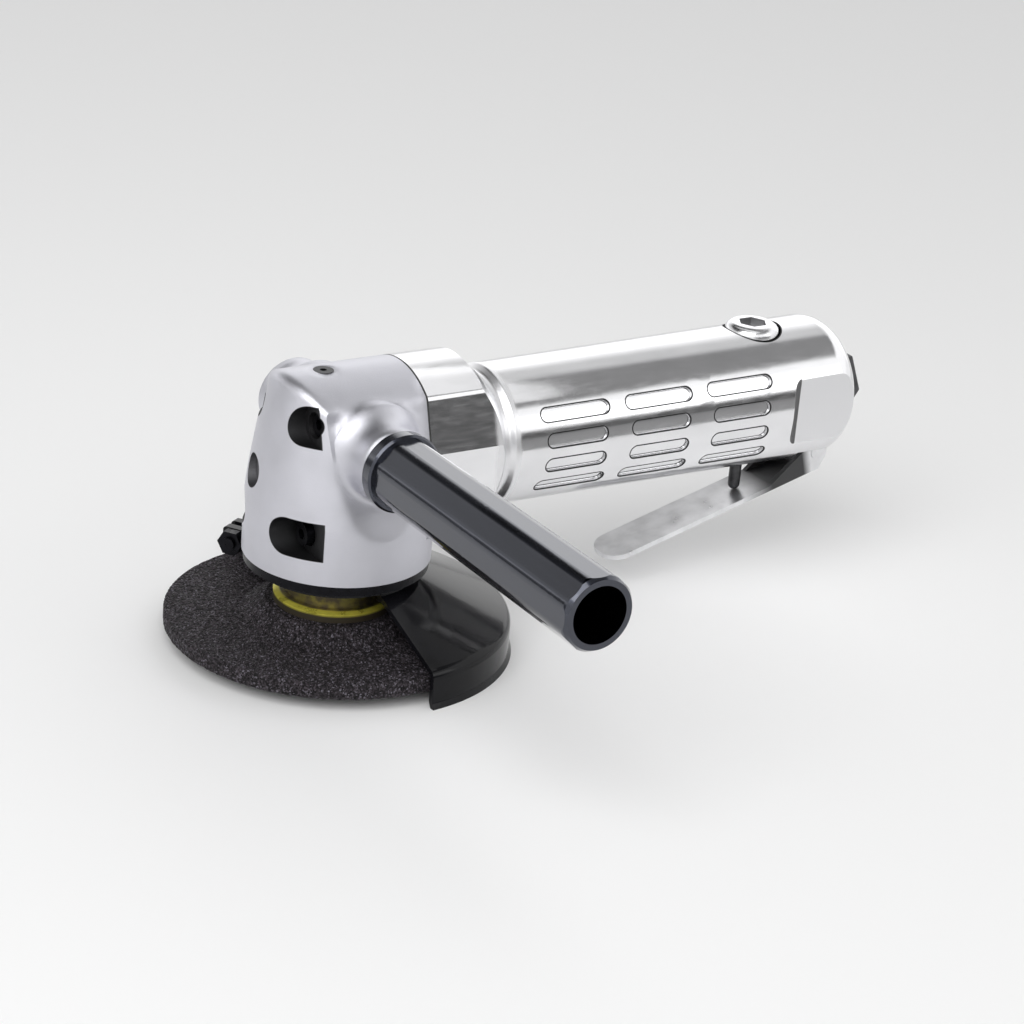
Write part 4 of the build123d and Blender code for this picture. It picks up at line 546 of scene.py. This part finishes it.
        # Painted shade: the screw pockets, the screw bores and, a little lighter, the nose recess are darkened
        head.lay(head.calc("MAXIMUM", pockets, bores), metal.recess, roughness=0.5)
        head.lay(nose, scaled(metal.recess, 3), roughness=0.5)
        brow = head.all_of(head.above(z, BROW_HEIGHT, BROW_BLUR), head.below(x, 0.0, BROW_RUNOUT))
        boss = head.apart(x, head.calc("SUBTRACT", z, MOUNTS["grip_socket"]["pos_m"][2]))
        outward = head.calc("ABSOLUTE", y)
        flare = head.all_of(
            head.below(boss, BOSS_RADIUS, BOSS_BLUR), head.above(outward, BOSS_START, BOSS_BLUR),
            head.below(outward, BOSS_END, BOSS_EDGE),
        )
        margin = head.all_of(
            head.below(
                head.apart(head.calc("MINIMUM", across, 0.0), rise), POCKET_RADIUS + MARGIN_WIDTH, MARGIN_BLUR
            ),
            head.below(x, POCKET_FLOOR + MARGIN_DEPTH, MARGIN_FADE),
        )
        head.soften(
            head.calc("MULTIPLY", head.calc("MAXIMUM", brow, flare), head.calc("SUBTRACT", 1.0, margin)),
            BLASTED_ROUND,
        )
        head.bump(blast, 0.00004)
        head.bump(head.mottle(0.006, 1), 0.00008, 0.5)
        head.on("gear_head")
        return {"FINISHED"}


class GRINDER_OT_steel(bpy.types.Operator):
    """Finish the steel, brass and plated pieces"""

    bl_idname = "grinder.steel"
    bl_label = "Finish steel"

    def execute(self, context):
        metal = context.scene.grinder_metal
        lever = Finish("pressed_steel", metal.pressed, 1.0, 0.26)
        rolled = lever.mottle(0.0008, 3, (0.06, 1, 1))
        stains = lever.mottle(0.007, 5)
        lever.gloss(stains, 0.27, 0.34)
        lever.tint(
            stains, (0.3, scaled(metal.pressed, 0.86)), (0.5, metal.pressed), (0.7, scaled(metal.pressed, 1.1))
        )
        x, y, z = lever.axes()
        low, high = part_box("lever_pin")
        pivot = (low + high) / 2
        along = lever.calc(
            "ADD", lever.calc("MULTIPLY", lever.calc("SUBTRACT", pivot.x, x), math.cos(LEVER_SLOPE)),
            lever.calc("MULTIPLY", lever.calc("SUBTRACT", pivot.z, z), math.sin(LEVER_SLOPE)),
        )
        # Painted shade on the lever where it lies in shadow under the barrel, near the pivot
        pivot_shade = lever.all_of(
            lever.above(along, PIVOT_SHADE_START, PIVOT_SHADE_START_BLUR), lever.below(along, PIVOT_SHADE_END, PIVOT_SHADE_END_BLUR)
        )
        lever.lay(pivot_shade, scaled(metal.pressed, 0.10), roughness=0.42)
        lever.bump(rolled, 0.00002)
        lever.on("throttle_lever", "lever_pin")
        plug = Finish("turned_plug", metal.pressed, 1.0, 0.22)
        low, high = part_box("valve_plug")
        x, y, z = plug.axes()
        reach = plug.apart(plug.calc("SUBTRACT", x, (low.x + high.x) / 2), y)
        lathe = plug.mottle(0.0004, 2, (1, 1, 0.2))
        plug.gloss(lathe, 0.17, 0.28)
        # Painted shade inside the hexagon socket of the plug
        socket = plug.all_of(plug.below(reach, SOCKET_REACH), plug.below(z, high.z - SOCKET_DROP))
        plug.lay(socket, scaled(metal.pressed, 0.5), roughness=0.4)
        plug.bump(lathe, 0.000012)
        plug.on("valve_plug")
        ground = Finish("ground_steel", metal.ground, 1.0, 0.24)
        turned = ground.mottle(*FINE)
        ground.gloss(turned, 0.18, 0.32)
        ground.bump(turned, 0.00001)
        ground.on(
            "spindle", "bevel_gear", "bevel_pinion", "gear_key", "snap_ring", "lower_bearing", "upper_bearing",
            "front_bearing", "rear_bearing", "front_plate", "rear_plate", "motor_cylinder", "rotor",
            "thrust_washer", "valve_spring", "inlet_screen",
        )
        screws = ["head_screw_1", "head_screw_2", "head_screw_3", "head_screw_4"]
        for name, shade, metallic, roughness, stain, dull, pieces in (
            ("dark_steel", metal.dark, 1.0, 0.45, (0.003, 4), (0.38, 0.55),
             ["inlet_bushing", "valve_stem", "grease_fitting"]),
            ("black_oxide", metal.oxide, 0.85, 0.32, (0.002, 3), (0.24, 0.42),
             ["bearing_cap", *screws, "guard_clamp_screw", "guard_clamp_nut", "grip_bolt"]),
        ):
            dark = Finish(name, shade, metallic, roughness)
            skin = dark.mottle(*stain)
            dark.gloss(skin, *dull)
            dark.tint(skin, (0.3, scaled(shade, 0.7)), (0.7, scaled(shade, 1.5)))
            dark.bump(dark.mottle(0.0004, 2), 0.00002)
            dark.on(*pieces)
        zinc = Finish("yellow_zinc", metal.zinc, 0.5, 0.3)
        bloom = zinc.mottle(0.004, 4)
        zinc.gloss(bloom, 0.22, 0.38)
        zinc.tint(
            bloom, (0.34, scaled(metal.zinc, 0.66)), (0.5, metal.zinc), (0.68, scaled(metal.zinc, 1.12))
        )
        x, y, z = zinc.axes()
        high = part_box("inner_flange")[1]
        smudge = zinc.spread(zinc.mottle(0.0025, 4), 0.75, 1.0, 0.35, 0.6)
        inner = zinc.below(zinc.apart(x, y), high.x - FLANGE_EDGE, FLANGE_BLUR)
        upper = zinc.above(z, FLANGE_FACE, FLANGE_BLUR)
        zinc.lay(zinc.all_of(inner, upper, smudge), metal.zinc_olive, roughness=0.36, metallic=0.85)
        shaded = zinc.below(z, FLANGE_SHADE, FLANGE_SHADE_BLUR)
        zinc.lay(shaded, scaled(metal.zinc_olive, 0.4), roughness=0.4)
        # Pale top band of the flange: painted highlight along with rubbed plating
        wear_and_highlight = zinc.above(z, high.z - FLANGE_WEAR_HIGHLIGHT, FLANGE_WEAR_HIGHLIGHT_BLUR)
        zinc.lay(wear_and_highlight, metal.zinc_wear_highlight, roughness=0.24)
        zinc.bump(zinc.mottle(0.0004, 2, (1, 1, 0.2)), 0.00002)
        zinc.on("inner_flange", "flange_nut")
        brass = Finish("turned_brass", metal.brass, 1.0, 0.28)
        brass.gloss(brass.mottle(*FINE), 0.2, 0.36)
        brass.on("valve_bush")
        return {"FINISHED"}


class GRINDER_OT_coats(bpy.types.Operator):
    """Finish the coated guard and grip, and the seals, sheet and vanes"""

    bl_idname = "grinder.coats"
    bl_label = "Finish coats"

    def execute(self, context):
        coat = context.scene.grinder_coat
        guard = Finish("guard_coat", coat.guard, 0.0, 0.10).set("Specular IOR Level", 0.2)
        clouds = guard.mottle(0.010, 3)
        guard.gloss(clouds, 0.06, 0.13)
        guard.tint(clouds, (0.3, scaled(coat.guard, 0.7)), (0.7, scaled(coat.guard, 1.5)))
        guard.bump(guard.mottle(0.0012, 2), 0.000012)
        guard.bump(guard.mottle(0.009, 2), 0.00010, 0.6)
        guard.on("wheel_guard")
        grip = Finish("grip_coat", coat.grip, 1.0, 0.22).set("Coat Weight", 1.0).set("Coat Roughness", 0.06)
        drawn = grip.mottle(0.0012, 3, (1, 0.05, 1))
        grip.gloss(drawn, 0.18, 0.27)
        grip.tint(drawn, (0.3, scaled(coat.grip, 0.9)), (0.7, scaled(coat.grip, 1.1)))
        grip.bump(drawn, 0.000006)
        grip.on("side_grip")
        gasket = Finish("gasket_sheet", coat.gasket, 0.0, 0.8)
        fibre = gasket.mottle(0.0006, 3)
        gasket.tint(fibre, (0.3, scaled(coat.gasket, 0.6)), (0.7, scaled(coat.gasket, 1.4)))
        gasket.bump(fibre, 0.00005)
        gasket.on("head_gasket")
        rubber = Finish("seal_rubber", coat.rubber, 0.0, 0.55)
        bloom = rubber.mottle(0.002, 3)
        rubber.gloss(bloom, 0.45, 0.7)
        rubber.bump(rubber.mottle(0.0003, 2), 0.00002)
        rubber.on("spindle_seal", "plug_seal")
        vane = Finish("vane_laminate", coat.vane, 0.0, 0.5)
        layers = vane.mottle(0.0006, 3, (0.05, 1, 1))
        vane.tint(layers, (0.3, scaled(coat.vane, 0.7)), (0.7, scaled(coat.vane, 1.3)))
        vane.bump(layers, 0.00003)
        vane.on("rotor_vane_1", "rotor_vane_2", "rotor_vane_3", "rotor_vane_4")
        return {"FINISHED"}


def new_piece(name, shape, material, body):
    """Makes a shape an object that rides on a CAD body."""
    mesh = bpy.data.meshes.new(name)
    shape.to_mesh(mesh)
    shape.free()
    mesh.materials.append(material)
    piece = bpy.data.objects.new(name, mesh)
    bpy.context.scene.collection.objects.link(piece)
    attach(piece, body)
    return piece


class GRINDER_OT_wheel(bpy.types.Operator):
    """Make the grinding wheel with its bonded grit"""

    bl_idname = "grinder.wheel"
    bl_label = "Make wheel"

    def execute(self, context):
        coat = context.scene.grinder_coat
        sizes = context.scene.grinder_wheel
        low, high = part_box("grinding_wheel")
        radius = high.x
        hub, foot, bevel = sizes.hub, sizes.hub + sizes.slope, sizes.bevel
        rim_top = high.z - sizes.rise
        hub_base = high.z - sizes.thickness
        outline = (
            (sizes.bore, high.z), (sizes.seat, high.z), (hub, high.z), (foot, rim_top),
            (radius - bevel, rim_top), (radius, rim_top - bevel), (radius, low.z + bevel),
            (radius - bevel, low.z), (foot - sizes.dish, low.z), (hub - sizes.dish, hub_base),
            (sizes.bore, hub_base),
        )
        shape = bmesh.new()
        rows = []
        for start, end in zip(outline, outline[1:] + outline[:1]):
            start, end = Vector((start[0], 0, start[1])), Vector((end[0], 0, end[1]))
            count = max(1, round((end - start).length / sizes.row))
            rows += [shape.verts.new(start.lerp(end, step / count)) for step in range(count)]
        for index, row in enumerate(rows):
            shape.edges.new((rows[index - 1], row))
        bmesh.ops.spin(
            shape, geom=shape.verts[:] + shape.edges[:], axis=(0, 0, 1), cent=(0, 0, 0),
            angle=2 * math.pi, steps=sizes.around, use_merge=True,
        )
        bmesh.ops.remove_doubles(shape, verts=shape.verts, dist=1e-6)
        bmesh.ops.recalc_face_normals(shape, faces=shape.faces)
        shape.normal_update()
        draw = random.Random(GRIT_SEED)
        for vertex in shape.verts:
            reach = vertex.co.xy.length
            sunk = draw.random() ** 2 * sizes.grit
            ring = 0.5 + 0.5 * math.cos(2 * math.pi * reach / sizes.ring_pitch)
            if vertex.normal.z > 0.5 and reach > foot:
                sunk += ring * sizes.ring_depth
            if reach > sizes.seat:
                vertex.co -= vertex.normal * sunk
        grit = Finish("bonded_grit", coat.grain, 0.0, 0.8).set("Specular IOR Level", 0.2)
        # The brightest cells of the grit are painted glints
        grit.tint(
            grit.grains(sizes.cell, "Color"),
            (0.15, coat.bond), (0.5, coat.grain), (0.75, scaled(coat.grain, 3.5)), (0.92, coat.painted_glint),
        )
        grit.gloss(grit.mottle(0.0009, 2), 0.42, 0.85)
        grit.bump(grit.grains(sizes.cell), 0.00035)
        wheel = new_piece("wheel_disc", shape, grit.material, "spindle_set")
        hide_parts("grinding_wheel")
        return {"FINISHED"}


def ridge(radius, height, pitch, run):
    """A thread's ridge inside a hole along +Z, from its mouth down."""
    turns = int(run / pitch)
    shape = bmesh.new()
    foot, top = radius + RIDGE_SUNK, radius - height
    profile = (
        (foot, RIDGE_FOOT[0]), (top, RIDGE_TOP[0]), (top, RIDGE_TOP[1]), (foot, RIDGE_FOOT[1]),
    )
    corners = [shape.verts.new((reach, 0, -place * pitch)) for reach, place in profile]
    sides = [shape.edges.new((corner, corners[index - 1])) for index, corner in enumerate(corners)]
    bmesh.ops.spin(
        shape, geom=corners + sides, axis=(0, 0, 1), cent=(0, 0, 0), dvec=(0, 0, -pitch / RIDGE_STEPS),
        angle=2 * math.pi * turns, steps=RIDGE_STEPS * turns, use_merge=False,
    )
    bmesh.ops.holes_fill(shape, edges=[side for side in shape.edges if side.is_boundary])
    bmesh.ops.recalc_face_normals(shape, faces=shape.faces)
    return shape


class GRINDER_OT_threads(bpy.types.Operator):
    """Cut threads in the air inlet and the free grip socket"""

    bl_idname = "grinder.threads"
    bl_label = "Cut threads"

    def execute(self, context):
        sizes = context.scene.grinder_thread
        inlet_mouth = Vector((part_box("inlet_bushing")[1].x, 0, MOTOR_HEIGHT))
        grip_mouth = Vector((0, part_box("gear_head")[1].y, MOUNTS["grip_socket"]["pos_m"][2]))
        for name, mount, mouth, pitch, run, node, slot_name in (
            ("inlet_thread", "air_inlet", inlet_mouth, sizes.inlet_pitch, sizes.inlet_run,
             "inlet_bushing", "dark_steel"),
            ("grip_thread", "grip_socket", grip_mouth, sizes.grip_pitch, sizes.grip_run,
             "gear_head", "satin_aluminium"),
        ):
            outward = Vector(MOUNTS[mount]["axis"])
            thread = ridge(MOUNTS[mount]["dims"]["r_mm"] / 1000, sizes.height, pitch, run)
            place = Matrix.Translation(mouth - outward * sizes.lead)
            turn = Vector((0, 0, 1)).rotation_difference(outward).to_matrix().to_4x4()
            bmesh.ops.transform(thread, verts=thread.verts, matrix=place @ turn)
            new_piece(name, thread, NODES[node].data.materials[0], "tool_body")
        return {"FINISHED"}


class GRINDER_OT_spring(bpy.types.Operator):
    """Wind the throttle valve's spring"""

    bl_idname = "grinder.spring"
    bl_label = "Wind spring"

    def execute(self, context):
        sizes = context.scene.grinder_spring
        low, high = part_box("valve_spring")
        centre = (low + high) / 2
        steps = sizes.steps * sizes.turns
        rise = high.z - low.z - sizes.wire
        reach = (high.y - low.y - sizes.wire) / 2
        upright = Matrix.Translation((reach, 0, 0)) @ Matrix.Rotation(math.pi / 2, 4, "X")
        shape = bmesh.new()
        bmesh.ops.create_circle(shape, segments=sizes.sides, radius=sizes.wire / 2, matrix=upright)
        bmesh.ops.spin(
            shape, geom=shape.verts[:] + shape.edges[:], axis=(0, 0, 1), cent=(0, 0, 0),
            dvec=(0, 0, rise / steps), angle=2 * math.pi * sizes.turns, steps=steps, use_merge=False,
        )
        bmesh.ops.holes_fill(shape, edges=[side for side in shape.edges if side.is_boundary])
        bmesh.ops.recalc_face_normals(shape, faces=shape.faces)
        bmesh.ops.translate(shape, verts=shape.verts, vec=(centre.x, centre.y, low.z + sizes.wire / 2))
        coil = new_piece(
            "valve_coil", shape, NODES["valve_spring"].data.materials[0], "tool_body"
        )
        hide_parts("valve_spring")
        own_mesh(coil)
        return {"FINISHED"}


def soft_box(name, place, aim, size, power):
    """A lamp of that width and height that points at aim."""
    lamp = bpy.data.lights.new(name, "AREA")
    lamp.shape = "RECTANGLE"
    lamp.size, lamp.size_y = size
    lamp.energy = power
    holder = bpy.data.objects.new(name, lamp)
    holder.location = place
    holder.rotation_euler = (Vector(aim) - Vector(place)).to_track_quat("-Z", "Y").to_euler()
    holder.visible_camera = False
    bpy.context.scene.collection.objects.link(holder)


class Room:
    """The light of the room around, whose level follows the direction."""

    def __init__(self, name):
        world = bpy.data.worlds.new(name)
        bpy.context.scene.world = world
        world.use_nodes = True
        self.tree = world.node_tree
        direction = self.tree.nodes.new("ShaderNodeTexCoord")
        self.parts = self.tree.nodes.new("ShaderNodeSeparateXYZ")
        self.tree.links.new(direction.outputs["Generated"], self.parts.inputs["Vector"])

    def ramp(self, axis, *levels):
        """Level that follows one part of the direction, from -1 to 1."""
        height = self.tree.nodes.new("ShaderNodeMapRange")
        height.inputs["From Min"].default_value = -1
        shades = self.tree.nodes.new("ShaderNodeValToRGB")
        points = shades.color_ramp.elements
        while len(points) < len(levels):
            points.new(1)
        for point, (place, level) in zip(points, levels):
            point.position = (place + 1) / 2
            point.color = (level, level, level, 1)
        self.tree.links.new(self.parts.outputs[axis], height.inputs["Value"])
        self.tree.links.new(height.outputs["Result"], shades.inputs["Fac"])
        return shades.outputs["Color"]

    def over(self, light, shade, part=1.0, kind="MULTIPLY"):
        """The light, dimmed or replaced by a shade over a part of the room."""
        mix = self.tree.nodes.new("ShaderNodeMix")
        mix.data_type = "RGBA"
        mix.blend_type = kind
        for value, socket in zip((part, light, shade), (mix.inputs[0], mix.inputs[6], mix.inputs[7])):
            if isinstance(value, float):
                socket.default_value = value
            else:
                self.tree.links.new(value, socket)
        return mix.outputs[2]

    def shine(self, light, strength):
        """Lights the scene."""
        background = self.tree.nodes["Background"]
        self.tree.links.new(light, background.inputs["Color"])
        background.inputs["Strength"].default_value = strength


class GRINDER_OT_stage(bpy.types.Operator):
    """Set the floor, the room, the lamps and the camera"""

    bl_idname = "grinder.stage"
    bl_label = "Set stage"

    def execute(self, context):
        scene = context.scene
        stage = scene.grinder_stage
        ground = bmesh.new()
        bmesh.ops.create_grid(ground, x_segments=1, y_segments=1, size=stage.floor_size)
        centre = Vector((MIDDLE.x, stage.floor_size - stage.floor_front, CAD_BOX[0][2]))
        bmesh.ops.translate(ground, verts=ground.verts, vec=centre)
        mesh = bpy.data.meshes.new("floor")
        ground.to_mesh(mesh)
        ground.free()
        floor = bpy.data.objects.new("floor", mesh)
        scene.collection.objects.link(floor)
        paper = Finish("floor_paper", stage.floor, 0.0, 0.7)
        paper.bump(paper.mottle(0.002, 2), 0.00002)
        mesh.materials.append(paper.material)

        room = Room("room")
        light = room.ramp(
            "Z", (-1.0, stage.ground), (-0.2, stage.ground), (-0.1, stage.horizon), (0.2, stage.horizon),
            (0.28, stage.wall), (0.68, stage.wall), (0.73, stage.ceiling), (1.0, stage.ceiling),
        )
        open_side = room.ramp("Y", (-1.0, 1.0), (-0.78, 1.0), (-0.60, 0.0), (1.0, 0.0))
        opening = room.ramp(
            "Z", (-1.0, 1.0), (-0.30, 1.0), (-0.21, 0.33), (0.05, 0.27), (0.09, stage.opening),
            (0.20, stage.opening), (0.27, 1.0), (1.0, 1.0),
        )
        ahead = room.ramp("X", (-1.0, 0.0), (-0.45, 0.0), (-0.20, 1.0), (1.0, 1.0))
        light = room.over(light, opening, room.over(open_side, ahead))
        behind = room.ramp("Y", (-1.0, 0.0), (0.14, 0.0), (0.24, 1.0), (1.0, 1.0))
        back = room.ramp(
            "Z", (-1.0, stage.ground), (-0.2, stage.ground), (0.0, stage.horizon), (0.25, stage.back),
            (0.45, stage.back), (0.70, stage.eave), (0.80, stage.eave), (0.86, stage.ceiling),
            (1.0, stage.ceiling),
        )
        light = room.over(light, back, behind, "MIX")
        left = room.ramp("X", (-1.0, stage.corner), (0.0, stage.corner), (0.42, 1.0), (1.0, 1.0))
        raised = room.ramp("Z", (-1.0, 0.0), (0.2, 0.0), (0.35, 1.0), (1.0, 1.0))
        light = room.over(light, left, room.over(behind, raised))
        edge = room.ramp("X", (-1.0, 1.0), (-0.55, 1.0), (-0.42, 0.0), (1.0, 0.0))
        foot = room.ramp("Z", (-1.0, 1.0), (-0.04, 1.0), (0.02, 0.18), (0.16, 0.18), (0.24, 1.0), (1.0, 1.0))
        light = room.over(light, foot, room.over(behind, edge))
        corner = room.ramp("X", (-1.0, 1.0), (0.28, 1.0), (0.40, 0.0), (1.0, 0.0))
        high = room.ramp(
            "Z", (-1.0, 1.0), (0.545, 1.0), (0.58, stage.gap), (1.0, stage.gap),
        )
        light = room.over(light, high, room.over(behind, corner))
        room.shine(light, stage.room)

        for name, place, aim, size, power in LAMPS:
            soft_box(name, place, aim, size, getattr(stage, power))

        camera = bpy.data.objects.new("camera", bpy.data.cameras.new("camera"))
        camera.data.lens = stage.lens
        camera.data.sensor_width = SENSOR_WIDTH
        camera.data.clip_start = 0.01
        turn = Matrix((CAMERA_RIGHT, CAMERA_UP, CAMERA_BACK)).transposed().to_4x4()
        camera.matrix_world = Matrix.Translation(CAMERA_PLACE) @ turn
        scene.collection.objects.link(camera)
        scene.camera = camera
        scene.view_settings.view_transform = "Standard"
        return {"FINISHED"}


class GRINDER_PT_panel(bpy.types.Panel):
    """Lists the steps in order"""

    bl_idname = "GRINDER_PT_panel"
    bl_label = "Air Angle Grinder"
    bl_space_type = "VIEW_3D"
    bl_region_type = "UI"
    bl_category = "Grinder"

    def draw(self, context):
        for step in STEPS:
            self.layout.operator(step.bl_idname)
        for name in SETTINGS:
            group = getattr(context.scene, name)
            box = self.layout.box()
            for setting in group.__annotations__:
                box.prop(group, setting)


STEPS = (
    GRINDER_OT_castings, GRINDER_OT_steel, GRINDER_OT_coats,
    GRINDER_OT_wheel, GRINDER_OT_threads, GRINDER_OT_spring, GRINDER_OT_stage,
)
SETTINGS = {
    "grinder_metal": MetalColours,
    "grinder_coat": CoatColours,
    "grinder_wheel": WheelSizes,
    "grinder_thread": ThreadSizes,
    "grinder_spring": SpringSizes,
    "grinder_stage": StageSettings,
}


def register():
    for group in SETTINGS.values():
        bpy.utils.register_class(group)
    for name, group in SETTINGS.items():
        setattr(bpy.types.Scene, name, PointerProperty(type=group))
    for step in STEPS:
        bpy.utils.register_class(step)
    bpy.utils.register_class(GRINDER_PT_panel)


def unregister():
    bpy.utils.unregister_class(GRINDER_PT_panel)
    for step in reversed(STEPS):
        bpy.utils.unregister_class(step)
    for name in SETTINGS:
        delattr(bpy.types.Scene, name)
    for group in SETTINGS.values():
        bpy.utils.unregister_class(group)


def main():
    register()
    bpy.ops.grinder.castings()
    bpy.ops.grinder.steel()
    bpy.ops.grinder.coats()
    bpy.ops.grinder.wheel()
    bpy.ops.grinder.threads()
    bpy.ops.grinder.spring()
    bpy.ops.grinder.stage()


if __name__ == "__main__":
    main()
